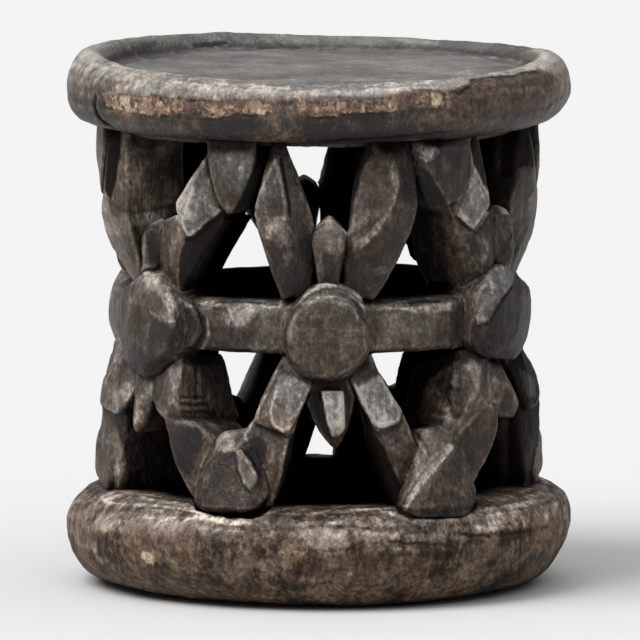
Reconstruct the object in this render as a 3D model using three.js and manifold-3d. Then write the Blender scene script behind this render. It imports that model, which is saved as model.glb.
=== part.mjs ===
// Low round stool carved from one log: a dished round seat and a thick round
// foot disc, joined by an openwork drum of six stylised spiders that stand on
// a horizontal hoop. Millimetres, +Z up. The origin is the centre of the flat
// underside, and the front spider faces -Y.
//
// The drum is written in drum coordinates: a = angle in degrees about +Z,
// 0 at the front (-Y) and growing towards +X; z = height; r = radius.
// Every carved element is a solid made of faceted blocks, and neighbours meet
// face to face with a fine parting gap.
import * as THREE from 'three';
import { ConvexGeometry } from 'three/addons/geometries/ConvexGeometry.js';
import { mergeVertices } from 'three/addons/utils/BufferGeometryUtils.js';
import Module from 'manifold-3d';

const wasm = await Module();
wasm.setup();

// ---- driving dimensions ----
const SEAT_R = 190.5;        // widest radius of the rolled seat rim
const SEAT_FLOOR = 391;      // flat floor of the dish
const SEAT_CREST = 403.5;    // mean height of the rim crest
const SEAT_UNDER = 351;      // underside of the seat
const COLLAR_R = 154;        // shallow collar under the seat
const COLLAR_Z = 346.5;
const BASE_R = 191.5;        // widest radius of the foot disc
const BASE_TOP = 76;         // top of the foot disc
const DRUM_R = 165;          // outer radius of the legs at the knees
const DRUM_IN = 105;         // inner radius of the hollowed drum
const BOSS_R = 178;          // how far a spider's body stands out
const HOOP_OUT = 157;        // outer radius of the hoop
const HOOP_IN = 108;
const HOOP_TOP = 230;
const HOOP_BOTTOM = 191;
const NEAR = 0.45, FAR = 0.92;  // how a leg's inner face draws in, towards and away from its spider's axis
const GAP = 0.3;             // parting gap between neighbours
const GROW = 0.55;           // growth of a block's corners that opens that gap
const ROUND = 64;            // segments round the seat and the foot disc

// the spiders' own angles, as carved: front, right, right rear, rear, left rear, left
const SPIDERS = [
  { key: 'front', at: 2.3 },
  { key: 'right', at: 59 },
  { key: 'right_rear', at: 123 },
  { key: 'rear', at: 183.5 },
  { key: 'left_rear', at: 242 },
  { key: 'left', at: -54 },
];

// ---- helpers ----
const rad = Math.PI / 180;
const at = (a, r, z) => new THREE.Vector3(r * Math.sin(a * rad), -r * Math.cos(a * rad), z);

function solidOf(geometry) {
  const g = geometry.clone();
  for (const name of Object.keys(g.attributes)) if (name !== 'position') g.deleteAttribute(name);
  const m = mergeVertices(g, 1e-4);
  return new wasm.Manifold(new wasm.Mesh({
    numProp: 3,
    vertProperties: new Float32Array(m.attributes.position.array),
    triVerts: new Uint32Array(m.index.array),
  }));
}

function geometryOf(solid) {
  const m = solid.getMesh();
  const g = new THREE.BufferGeometry();
  const p = new Float32Array(m.numVert * 3);
  for (let i = 0; i < m.numVert; i++) for (let k = 0; k < 3; k++) p[i * 3 + k] = m.vertProperties[i * m.numProp + k];
  g.setAttribute('position', new THREE.BufferAttribute(p, 3));
  g.setIndex(new THREE.BufferAttribute(new Uint32Array(m.triVerts), 1));
  const flat = g.toNonIndexed();
  flat.computeVertexNormals();
  return flat;
}

// a faceted block: the hull of its corners, optionally grown from its middle
function block(points, grow = 0) {
  let pts = points;
  if (grow) {
    const c = new THREE.Vector3();
    for (const p of points) c.add(p);
    c.divideScalar(points.length);
    pts = points.map((p) => p.clone().add(p.clone().sub(c).setLength(grow)));
  }
  return solidOf(new ConvexGeometry(pts));
}

// corners of a radial block: an outline in (a, z[, r]) on the outer face, the
// same outline drawn in on the inner face, and raised ridge points between
function radial(at0, outline, o = {}) {
  const rOut = o.r ?? DRUM_R, rIn = o.rin ?? DRUM_IN;
  let ca = 0, cz = 0;
  for (const p of outline) { ca += p[0] / outline.length; cz += p[1] / outline.length; }
  const pts = [];
  for (const p of outline) {
    pts.push(at(at0 + p[0], p[2] ?? rOut, p[1]));
    // a leg's inner face draws in on the side of its own spider's axis
    const k = o.leg ? (Math.abs(p[0]) < Math.abs(ca) ? NEAR : FAR) : o.shrink ?? 0.92;
    if (!o.inner) pts.push(at(at0 + ca + (p[0] - ca) * k, rIn, cz + (p[1] - cz) * 0.92));
  }
  for (const p of o.inner ?? []) pts.push(at(at0 + p[0], p[2] ?? rIn, p[1]));
  for (const p of o.ridge ?? []) pts.push(at(at0 + p[0], p[2], p[1]));
  return pts;
}

// a band that follows the drum between two angles: section points are (r, z)
function sweep(a0, a1, section, steps, grow = 0) {
  const g0 = a0 - grow * 0.2, g1 = a1 + grow * 0.2;
  const pos = [], idx = [];
  for (let i = 0; i <= steps; i++) {
    const a = g0 + (g1 - g0) * i / steps;
    const s = section(i / steps);
    let cr = 0, cz = 0;
    for (const q of s) { cr += q[0] / s.length; cz += q[1] / s.length; }
    for (const q of s) {
      const d = Math.hypot(q[0] - cr, q[1] - cz), f = 1 + grow / d;
      const v = at(a, cr + (q[0] - cr) * f, cz + (q[1] - cz) * f);
      pos.push(v.x, v.y, v.z);
    }
  }
  const n = section(0).length;
  for (let i = 0; i < steps; i++) for (let j = 0; j < n; j++) {
    const a = i * n + j, b = i * n + (j + 1) % n, c = a + n, d = b + n;
    idx.push(a, b, c, b, d, c);
  }
  for (let j = 1; j < n - 1; j++) {
    idx.push(0, j + 1, j);
    const e = steps * n;
    idx.push(e, e + j, e + j + 1);
  }
  const g = new THREE.BufferGeometry();
  g.setAttribute('position', new THREE.Float32BufferAttribute(pos, 3));
  g.setIndex(idx);
  return solidOf(g);
}

// ---- seat and foot disc: turned profiles, made uneven by hand ----
function turned(profile, shape) {
  const g = new THREE.LatheGeometry(profile.map(([r, z]) => new THREE.Vector2(r, z)), ROUND);
  // the lathe turns about +Y: stand it up on +Z
  g.rotateX(Math.PI / 2);
  const p = g.attributes.position;
  for (let i = 0; i < p.count; i++) {
    const x = p.getX(i), y = p.getY(i), z = p.getZ(i);
    const a = Math.atan2(x, -y);
    const [sx, sz] = shape(Math.hypot(x, y), z, a);
    p.setXYZ(i, x * sx, y * sx, sz);
  }
  return solidOf(g);
}

// the rim crest is worn low at the front and stands highest at the left
const CREST = [[-180, 399.8], [-150, 403.6], [-120, 406], [-90, 406.5], [-45, 400], [0, 395.4], [45, 398], [80, 403], [95, 403.4], [120, 400], [150, 398.8], [180, 399.8]];
function crest(a) {
  const d = a / rad;
  for (let i = 0; i < CREST.length - 1; i++) {
    const [a0, z0] = CREST[i], [a1, z1] = CREST[i + 1];
    if (d <= a1) { const t = (d - a0) / (a1 - a0); return z0 + (z1 - z0) * (t * t * (3 - 2 * t)); }
  }
  return CREST[0][1];
}
// a shallow collar under the seat carries the drum
const seat = turned([
  [0, COLLAR_Z], [COLLAR_R, COLLAR_Z], [COLLAR_R + 3, SEAT_UNDER], [166, SEAT_UNDER], [173, 352.2], [180.3, 355.4], [185.2, 360.2], [189.2, 368],
  [SEAT_R, 378], [189.5, 387], [186, 395], [180.5, 400.6], [174, SEAT_CREST], [168, 402.2],
  [163, 398], [158.5, 393], [152, SEAT_FLOOR], [0, SEAT_FLOOR],
], (r, z, a) => {
  const f = z > SEAT_FLOOR ? (crest(a) - SEAT_FLOOR) / (SEAT_CREST - SEAT_FLOOR) : 1;
  // the rim is undercut a little more on the right
  const lean = r > 160 && z < 372 ? -0.014 * Math.min(1, (372 - z) / 16) : 0;
  return [1 + lean * Math.sin(a), z > SEAT_FLOOR ? SEAT_FLOOR + (z - SEAT_FLOOR) * f : z];
});
const WEAR = [[-180, 1], [-90, 1.4], [-70, 3], [-45, 4.4], [-20, 3.6], [0, 1.8], [15, 1.2], [35, 1.8], [55, 2.8], [80, 2.2], [110, 1], [180, 1]];
const base = turned([
  [0, 0], [134, 0], [152, 0.2], [163, 2.2], [171.5, 5.4], [178, 11], [182.4, 17], [186, 24], [189.4, 34],
  [BASE_R, 46], [190.8, 54], [188.6, 60], [184.3, 66], [178.5, 70.8], [171.5, 74], [164, BASE_TOP], [0, BASE_TOP],
], (r, z, a) => {
  // the disc leans out a little more above its middle on the right, and below it on the left,
  // and its bottom edge is worn up, most of all at the front left
  const lean = r < 150 ? 0 : z > 46 ? 0.019 * Math.min(1, ((z - 46) / 20) ** 2) : -0.0094 * Math.min(1, (46 - z) / 23);
  const d = a / rad;
  let lift = WEAR[0][1];
  for (let i = 0; i < WEAR.length - 1; i++) if (d >= WEAR[i][0]) lift = WEAR[i][1] + (WEAR[i + 1][1] - WEAR[i][1]) * (d - WEAR[i][0]) / (WEAR[i + 1][0] - WEAR[i][0]);
  const w = r < 140 || z > 46 ? 0 : Math.min(1, (r - 134) / 34) * Math.min(1, (46 - z) / 29);
  return [1 + lean * Math.sin(a), z + lift * w];
});

// ---- the carved elements of one spider, in its own angles ----
// Each outline is read clockwise or anticlockwise as (a, z[, r]).
const CARVING = {
  body: [[-7.6, 234], [-4.1, 242], [-0.2, 246], [4.3, 244], [8.9, 236], [11, 222], [12.1, 207], [11.6, 195],
    [8.9, 183], [5.7, 176], [1.7, 171], [-2.8, 172], [-7.6, 180], [-10.8, 189], [-12.1, 200], [-12.1, 215], [-10.3, 226]],
  head: [[0.8, 295, 158], [-2.8, 288, 160], [-4.1, 279, 163], [-2.8, 263, 163], [-2, 240, 160], [3, 240, 160], [4.1, 263, 163], [5.4, 275, 163], [5.7, 281, 162], [3.6, 289, 160]],
  headRidge: [[0.8, 288, 168], [0.8, 262, 171]],
  tail: [[-4.1, 176, 158], [-5.4, 160, 160], [-4.9, 149, 161], [-2.8, 136, 160], [0.3, 124, 156], [2.8, 118, 152], [4.1, 123, 153], [5.9, 134, 158], [7, 145, 160], [7.5, 156, 160], [5.4, 176, 158]],
  tailRidge: [[-1.6, 162, 168], [3.2, 162, 168], [3.6, 136, 166], [1, 134, 166]],
  ulThigh: [[-12.5, 231, 158], [-15.4, 258, 161], [-19.7, 293, 162], [-11.7, 297, 167], [-3.3, 289, 159], [-4.1, 279, 158], [-4.6, 250, 157], [-4, 236, 156]],
  ulThighRidge: [[-8, 268, 166]],
  ulShin: [[-20.2, 298, 162], [-17.8, 315, 161], [-15.2, 338, 160], [-15, 352, 158], [-11.6, 352, 158], [-7, 316, 159], [-3.3, 290, 158]],
  ulShinRidge: [[-13, 334, 166], [-11.7, 297, 168]],
  urThigh: [[5.5, 277, 159], [4.6, 248, 157], [5, 236, 156], [12.5, 231, 158], [17, 247, 159], [19.8, 261, 160], [21.8, 275, 161], [24.1, 288, 161], [24.9, 300, 161], [17, 305, 167]],
  urThighRidge: [[11, 262, 163]],
  urShin: [[5.5, 279, 160], [6.3, 297, 160], [7.3, 308, 160], [8.6, 323, 159], [10.8, 339, 159], [12.4, 352, 158], [23.3, 352, 158], [23.6, 314, 160], [24.9, 299, 162], [17, 304, 168]],
  urShinRidge: [[16.5, 336, 166], [17, 310, 168]],
  llThigh: [[-12.3, 190, 158], [-15.2, 173, 161], [-17.4, 160, 163], [-20, 140, 163], [-15.2, 139, 167], [-9.5, 134, 167], [-6.1, 154, 161], [-3.8, 171, 158], [-4, 182, 156]],
  llThighRidge: [[-10.6, 180, 165], [-13.6, 158, 168]],
  llShin: [[-20.5, 141, 160], [-7.6, 145, 158], [-10.8, 130, 160], [-12.9, 116, 160], [-14.8, 99, 159], [-15.6, 74, 158], [-25.5, 74, 158], [-24.6, 125, 159]],
  llShinRidge: [[-15.6, 112, 163]],
  lrThigh: [[5.9, 171, 158], [7.5, 160, 161], [12.8, 136, 167], [18.7, 138, 167], [20.4, 147, 162], [18.2, 159, 162], [14.6, 177, 160], [11.9, 190, 158], [5, 182, 156]],
  lrThighRidge: [[11.2, 178, 165], [14, 158, 168]],
  lrShin: [[9.6, 148, 158], [13.2, 137, 160], [16.5, 106, 160], [18.8, 74, 158], [25.5, 74, 158], [26, 114, 159], [22.8, 134, 160], [20.4, 149, 159]],
  lrShinRidge: [[19, 112, 163]],
};

// blocks between two spiders, in angles about the middle of the gap
const PENDANT = [[-6.2, 352, 164], [7, 352, 164], [9.2, 334, 166], [8.2, 314, 167], [4.6, 301, 165], [1, 296, 163], [-3.6, 304, 164], [-6.4, 324, 166]];
const KNEE = [[-3, 131, 158], [5.4, 134, 158], [8.6, 118, 163], [11.2, 100, 167], [12.2, 86, 168], [9.6, 74, 166], [-8.4, 74, 166], [-9.6, 84, 168], [-8.2, 102, 167], [-5.6, 118, 163]];
const KNEE_RIDGE = [[0.5, 112, 171], [1, 88, 172]];

// a raised end pad where the hoop leaves the left spider's body
const HOOP_LOBE = {
  left: [[[9, 228, 160], [13.5, 229, 163], [16.5, 227.5, 163.5], [19, 222, 163], [20.8, 212, 163], [20.8, 203, 163], [18.2, 194, 163], [13.5, 191, 162], [9, 192, 160]]],
};

// how far each pair of blocks stands proud of the pattern, and its shift round the drum
const PROUD = {
  front_to_right: [0, 0, 1.5, 2],
  right_to_right_rear: [2, -1, -1, 0],
  left_rear_to_left: [3, 0, 2, 2],
  left_to_front: [0, 0, 2.5, 0.5],
};

// ---- the six spiders: how each one differs from the pattern ----
const OWN = {
  front: { ulShinInner: [[-17, 350], [-14.5, 318], [-11, 292], [-19, 298], [-18.5, 338]] },
  right: {
    body: [0.6, 5, 0],
    urThigh: [[5.5, 277, 159], [4.6, 248, 157], [5, 236, 156], [12.5, 231, 152], [20, 246, 155], [23, 257, 160.5], [25, 270, 165], [26, 288, 167], [27, 302, 166], [17, 303, 168]],
    urShin: [[5.5, 279, 160], [7.3, 308, 160], [10.8, 339, 159], [13, 352, 158], [24, 352, 158], [26, 318, 163], [27, 298, 166], [17, 302, 168]],
    lrThigh: [[5.9, 171, 158], [7.5, 160, 161], [12.8, 136, 167], [20, 136, 169], [24.5, 146, 169], [22.4, 164, 166], [17.6, 180, 160], [11.9, 190, 154], [5, 182, 156]],
    lrShin: [[9.6, 148, 160], [13.2, 137, 162], [16.5, 106, 162], [18.8, 74, 160], [27, 74, 165], [28, 114, 168], [26.5, 134, 169], [22, 149, 168]],
    ulShin: [[-15.9, 330, 160], [-16.6, 352, 158], [-10, 352, 158], [-12.2, 314, 165], [-7.7, 302, 165], [-9, 295, 162], [-14.8, 281, 160], [-21.1, 295, 162], [-19.1, 308, 165]],
    ulShinRidge: [[-15, 306, 168]],
    ulThigh: [[-12.9, 279, 160], [-5.8, 292, 160], [-1.9, 289, 158], [-1.9, 257, 158], [-10.9, 249, 158], [-12.3, 231, 158], [-4, 236, 156], [-14.4, 265, 160], [-20, 292, 160]],
    ulInner: [[-16, 296], [-18, 282], [-16.4, 269], [-15.3, 252], [-9, 232], [-3, 236], [-3, 290]],
    llInner: [[-15.4, 172], [-20.5, 156], [-21.5, 141], [-18, 124], [-8, 124], [-5, 172]],
    llThigh: [[-12.3, 190, 158], [-17.3, 190, 156], [-11.6, 174, 162], [-6.6, 152, 163], [-9.6, 146, 164], [-15.4, 143, 163], [-21, 141, 160], [-17.5, 168, 157], [-5, 176, 156], [-5, 184, 156]],
    llShin: [[-13.5, 147, 163], [-4.4, 147, 163], [-3.4, 132, 165], [-6.6, 114, 165], [-13.5, 100, 163], [-21.6, 124, 161], [-22, 141, 158], [-16, 74, 158], [-24, 74, 158]],
    tail: [[-9, 177, 158], [-13.5, 168, 160], [-6.5, 148, 162], [-2.5, 136, 162], [4.9, 132, 163], [6.8, 144, 165], [4.9, 154, 164], [-1, 170, 162], [0, 178, 158]],
    tailRidge: [[0, 158, 170], [2.6, 142, 170]],
  },
  right_rear: {
    body: [0, 0, -4],
    shift: 1.2,
    lrInner: [[14, 182], [20, 156], [23.6, 129], [12, 128], [8, 150], [5, 180]],
  },
  rear: {
    urThigh: [[5.5, 277, 159], [4.6, 248, 157], [5, 236, 156], [8.5, 231, 158], [10, 247, 159], [12.5, 261, 160], [17, 274, 161], [23.5, 288, 161], [24.9, 300, 161], [17, 305, 167]],
    tail: [[-4.1, 176, 158], [-5.8, 150, 160], [-4.4, 110, 160], [-1.5, 94, 158], [2, 74, 152], [8.5, 74, 152], [9, 100, 158], [8.4, 134, 160], [7.5, 156, 160], [5.4, 176, 158]],
    tailRidge: [[0.5, 150, 167], [3.6, 110, 165]],
    lrThigh: [[5.9, 171, 158], [6.5, 160, 160], [8, 120, 163], [18, 116, 165], [19.5, 121, 163], [10.2, 152, 162], [8.8, 177, 160], [9.5, 190, 158], [5, 182, 156]],
    lrThighRidge: [[9, 165, 166], [12, 130, 168]],
    lrShin: [[9, 124, 158], [18.8, 74, 158], [25.5, 74, 158], [25, 108, 159], [21, 122, 160], [12, 127, 160]],
    llShin: [[-20.5, 141, 160], [-7.6, 145, 158], [-8.4, 130, 160], [-7.8, 116, 160], [-7.2, 99, 159], [-7.4, 74, 158], [-25.5, 74, 158], [-24.6, 125, 159]],
  },
  left_rear: { shift: -1, body: [-1, -9, -3] },
  left: {
    ulThigh: [[-12.5, 231, 150], [-20, 245, 154], [-23, 257, 160], [-25, 270, 165], [-27, 288, 166.5], [-27, 296, 165], [-18, 299, 169], [-8, 289, 164], [-7, 279, 163], [-4.6, 250, 157], [-4, 236, 156]],
    ulThighRidge: [[-12, 268, 164]],
    ulShin: [[-27, 296, 165], [-24, 318, 165], [-22, 338, 163], [-22, 352, 160], [-11.5, 352, 160], [-9, 318, 162], [-8, 290, 162]],
    ulShinRidge: [[-17, 334, 169], [-17, 299, 170]],
    llThigh: [[-12.3, 190, 152], [-18, 173, 160], [-25, 158, 166], [-29, 138, 167], [-18, 136, 169], [-10.5, 134, 167], [-6.1, 154, 161], [-3.8, 171, 158], [-4, 182, 156]],
    llThighRidge: [[-12, 178, 164], [-18, 158, 170]],
    llShin: [[-28.5, 141, 165], [-10, 141, 161], [-14, 110, 161], [-17, 74, 160], [-29, 74, 163], [-30, 125, 165]],
    llShinRidge: [[-21, 112, 168]],
    urShin: [[12.8, 303, 163], [13.8, 293, 163], [16.2, 281, 161], [18.4, 278, 161], [28, 300, 162], [23.6, 332, 161], [22.4, 352, 158], [17.4, 352, 156], [17.1, 322, 161]],
    urShinRidge: [[20, 306, 169]],
    urThigh: [[6, 286, 158], [12.1, 293, 160], [16.8, 281, 161], [13.6, 256, 160], [12.8, 231, 158], [7.9, 236, 158], [4.6, 246, 157], [26, 290, 159]],
    urInner: [[22, 286], [26.3, 290], [12.6, 252], [4.3, 232], [-2, 240], [2, 286]],
    lrThigh: [[0.2, 169, 158], [4, 176, 158], [11.9, 190, 158], [14.1, 185, 157], [13.8, 140, 162], [8.5, 138, 164], [4.6, 143, 163]],
    lrInner: [[9, 184], [11, 180], [15.2, 153], [20.5, 134], [8, 132], [0, 170]],
    lrShin: [[7.7, 141, 162], [14.2, 138, 165], [19.8, 136, 164], [22.9, 127, 162], [21.3, 112, 160], [19.8, 98, 160], [16.5, 96, 163], [13.2, 102, 165], [10.3, 120, 164], [19, 74, 158], [25, 74, 158], [25, 125, 158]],
    tail: [[-6, 127, 163], [-3.5, 122, 163], [0.8, 132, 164], [3.2, 150, 162], [4.2, 169, 158], [0, 176, 157], [-4, 170, 160], [-5, 155, 163]],
    tailRidge: [[-1, 150, 168], [-2.4, 134, 167]],
  },
};

// ---- building the elements in order, each one cut clear of those before ----
const built = [];     // { name, solid, grown }
const boxOf = (s) => s.boundingBox();
const boxesMeet = (p, q) => [0, 1, 2].every((k) => p.min[k] < q.max[k] && q.min[k] < p.max[k]);

function slabClip(solid) {
  // keep only the height between the foot disc and the seat
  const wide = 600;
  const cut = (z0, z1) => {
    const g = new THREE.BoxGeometry(wide, wide, z1 - z0);
    g.translate(0, 0, (z0 + z1) / 2);
    return solidOf(g);
  };
  const collar = new THREE.CylinderGeometry(COLLAR_R + 3 + GAP, COLLAR_R + GAP, SEAT_UNDER - COLLAR_Z + 2 * GAP, ROUND);
  collar.rotateX(Math.PI / 2);
  collar.translate(0, 0, (SEAT_UNDER + COLLAR_Z) / 2);
  return solid.subtract(solidOf(collar)).subtract(cut(SEAT_UNDER - GAP, SEAT_UNDER + 200)).subtract(cut(BASE_TOP + GAP - 200, BASE_TOP + GAP));
}

function add(name, blocks, bands = []) {
  const join = (grow) => {
    let s = null;
    for (const b of blocks) { const m = block(b, grow); s = s ? s.add(m) : m; }
    for (const b of bands) { const m = sweep(...b, grow); s = s ? s.add(m) : m; }
    return s;
  };
  let solid = slabClip(join(0));
  const grown = join(GROW);
  const box = boxOf(solid);
  for (const other of built) if (boxesMeet(box, boxOf(other.grown))) solid = solid.subtract(other.grown);
  const parts = solid.decompose().sort((p, q) => q.volume() - p.volume());
  built.push({ name, solid: parts[0], grown });
}

const scaled = (outline, f, r) => {
  let ca = 0, cz = 0;
  for (const p of outline) { ca += p[0] / outline.length; cz += p[1] / outline.length; }
  return outline.map((p) => [ca + (p[0] - ca) * f, cz + (p[1] - cz) * f, r]);
};

// bodies first: a faceted dome on a block that reaches into the drum
for (const s of SPIDERS) {
  const [da, dz, dr] = OWN[s.key].body ?? [0, 0, 0];
  const o = CARVING.body.map(([a, z]) => [a + da, z + dz]);
  add(`spider_${s.key}_body`, [[
    ...radial(s.at, scaled(o, 1, 157), { shrink: 0.86 }),
    ...scaled(o, 0.93, 167 + dr / 2).map(([a, z, r]) => at(s.at + a, r, z)),
    ...scaled(o, 0.55, BOSS_R + dr).map(([a, z, r]) => at(s.at + a, r, z)),
  ]]);
}

// the hoop: six bands from body to body
SPIDERS.forEach((s, i) => {
  const n = SPIDERS[(i + 1) % SPIDERS.length];
  let to = n.at;
  while (to < s.at) to += 360;
  const a0 = s.at + 7, a1 = to - 7;
  // the hoop sits a little lower at the back
  const mid = (s.at + to) / 2, dz = (mid > 180 ? -5.5 : -3) * (1 - Math.cos(mid * rad)) / 2;
  const top = HOOP_TOP + dz, bottom = HOOP_BOTTOM + dz;
  const section = () => [[HOOP_IN, bottom + 2], [HOOP_IN, top - 3], [HOOP_IN + 6, top], [HOOP_OUT - 14, top], [HOOP_OUT, top - 9], [HOOP_OUT, bottom + 3], [HOOP_OUT - 5, bottom]];
  const lobe = HOOP_LOBE[s.key] ?? [];
  add(`hoop_${s.key}_to_${n.key}`, lobe.map((l) => radial(s.at, l, { rin: 130 })), [[a0, a1, section, 6]]);
});

// the blocks between spiders: pendants under the seat, knee blocks on the foot disc
SPIDERS.forEach((s, i) => {
  const n = SPIDERS[(i + 1) % SPIDERS.length];
  let to = n.at;
  while (to < s.at) to += 360;
  const mid = (s.at + to) / 2;
  const proud = PROUD[`${s.key}_to_${n.key}`] ?? [0, 0, 2, 0];
  const out = (list, d) => list.map(([a, z, r]) => [a, z, r + d]);
  add(`pendant_${s.key}_to_${n.key}`, [radial(mid + proud[2], out(PENDANT, proud[0]), { rin: 112 })]);
  add(`knee_block_${s.key}_to_${n.key}`, [radial(mid + proud[3], out(KNEE, proud[1]), { ridge: out(KNEE_RIDGE, proud[1]), rin: 112 })]);
});

for (const s of SPIDERS) {
  const own = OWN[s.key];
  const get = (k) => own[k] ?? CARVING[k];
  const sh = own.shift ?? 0;
  add(`spider_${s.key}_head`, [radial(s.at, get('head'), { ridge: get('headRidge'), rin: 128, shrink: 0.8 })]);
  add(`spider_${s.key}_upper_leg_left`, [
    radial(s.at - sh, get('ulThigh'), { ridge: get('ulThighRidge'), inner: own.ulInner, leg: true }),
    radial(s.at - sh, get('ulShin'), { ridge: get('ulShinRidge'), inner: own.ulShinInner, rin: 110, leg: true }),
  ]);
  add(`spider_${s.key}_upper_leg_right`, [
    radial(s.at + sh, get('urThigh'), { ridge: get('urThighRidge'), inner: own.urInner, leg: true }),
    radial(s.at + sh, get('urShin'), { ridge: get('urShinRidge'), rin: 110, leg: true }),
  ]);
  add(`spider_${s.key}_lower_leg_left`, [
    radial(s.at - sh, get('llThigh'), { ridge: get('llThighRidge'), inner: own.llInner, leg: true }),
    radial(s.at - sh, get('llShin'), { ridge: get('llShinRidge'), rin: 110, leg: true }),
  ]);
  add(`spider_${s.key}_lower_leg_right`, [
    radial(s.at + sh, get('lrThigh'), { ridge: get('lrThighRidge'), inner: own.lrInner, leg: true }),
    radial(s.at + sh, get('lrShin'), { ridge: get('lrShinRidge'), rin: 110, leg: true }),
  ]);
}

// a spider's tail is one with its body: it is the pointed end of the abdomen
for (const s of SPIDERS) {
  const own = OWN[s.key];
  const get = (k) => own[k] ?? CARVING[k];
  const body = built.find((b) => b.name === `spider_${s.key}_body`);
  let tail = slabClip(block(radial(s.at, get('tail'), { ridge: get('tailRidge'), rin: 126, shrink: 0.8 })));
  for (const other of built) if (other !== body && boxesMeet(boxOf(tail), boxOf(other.grown))) tail = tail.subtract(other.grown);
  const parts = body.solid.add(tail).decompose().sort((p, q) => q.volume() - p.volume());
  body.solid = parts[0];
}

// ---- the scene graph ----
const stool = new THREE.Group();
function wood(name, solid, colour, roughness) {
  const mesh = new THREE.Mesh(geometryOf(solid), new THREE.MeshStandardMaterial({ color: colour, roughness, metalness: 0 }));
  mesh.name = name;
  stool.add(mesh);
}
wood('seat', seat, 0x4a3f37, 0.6);
wood('base', base, 0x4d3f34, 0.75);
const tones = { body: 0x2c2723, head: 0x2f2a26, hoop: 0x36302b, pendant: 0x3a332e, knee: 0x33302c, upper: 0x322c28, lower: 0x2e2925 };
for (const b of built) {
  const tone = Object.entries(tones).find(([k]) => b.name.includes(k) && (k !== 'body' || b.name.endsWith('body')));
  wood(b.name, b.solid, tone ? tone[1] : 0x322c28, 0.55);
}

export default stool;
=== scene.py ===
# Looks of the low carved stool: every carved element is rebuilt as a finely
# meshed, worn, adzed piece of wood in the place of its plain solid.
import math
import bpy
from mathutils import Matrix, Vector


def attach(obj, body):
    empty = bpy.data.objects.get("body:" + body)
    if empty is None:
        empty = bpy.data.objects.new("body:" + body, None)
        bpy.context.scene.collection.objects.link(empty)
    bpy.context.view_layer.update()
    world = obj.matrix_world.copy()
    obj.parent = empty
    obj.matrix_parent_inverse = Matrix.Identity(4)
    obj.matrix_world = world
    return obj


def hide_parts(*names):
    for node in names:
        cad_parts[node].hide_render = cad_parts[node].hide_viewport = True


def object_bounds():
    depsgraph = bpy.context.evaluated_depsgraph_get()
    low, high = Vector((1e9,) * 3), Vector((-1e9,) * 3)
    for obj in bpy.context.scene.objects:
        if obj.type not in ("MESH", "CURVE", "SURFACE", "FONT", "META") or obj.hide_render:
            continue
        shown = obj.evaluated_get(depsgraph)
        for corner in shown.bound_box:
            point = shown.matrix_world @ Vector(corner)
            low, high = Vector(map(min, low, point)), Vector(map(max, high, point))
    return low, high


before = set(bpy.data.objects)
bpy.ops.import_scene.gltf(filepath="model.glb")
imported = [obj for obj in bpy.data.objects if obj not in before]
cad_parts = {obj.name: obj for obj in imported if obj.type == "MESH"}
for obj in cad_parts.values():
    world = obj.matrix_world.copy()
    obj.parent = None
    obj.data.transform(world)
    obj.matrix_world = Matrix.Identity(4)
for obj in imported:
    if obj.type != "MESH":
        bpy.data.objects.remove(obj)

from concurrent.futures import ThreadPoolExecutor

import bmesh
import bpy
import numpy as np
import openvdb as vdb
from mathutils import Vector

CAD_BOX = [list(map(float, v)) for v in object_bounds()]

# ---------------------------------------------------------------- sizes, mm
SEAT_FLOOR, SEAT_CREST, SEAT_UNDER = 391.0, 403.5, 351.0
BASE_TOP = 76.0
DRUM_R, DRUM_IN = 165.0, 105.0
HOOP_OUT, HOOP_IN, HOOP_TOP, HOOP_BOTTOM = 157.0, 108.0, 230.0, 191.0
NEAR, FAR = 0.45, 0.92
RAD = math.pi / 180

# the camera of the view from the front, worked out from the ellipses of the
# discs: 10 m away, 1.358 m high, looking 6.611 degrees down
CAM_D, CAM_H, CAM_PITCH, CAM_F, CAM_CX = 10000.0, 1358.0, 6.611 * RAD, 13272.0, 318.8

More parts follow.
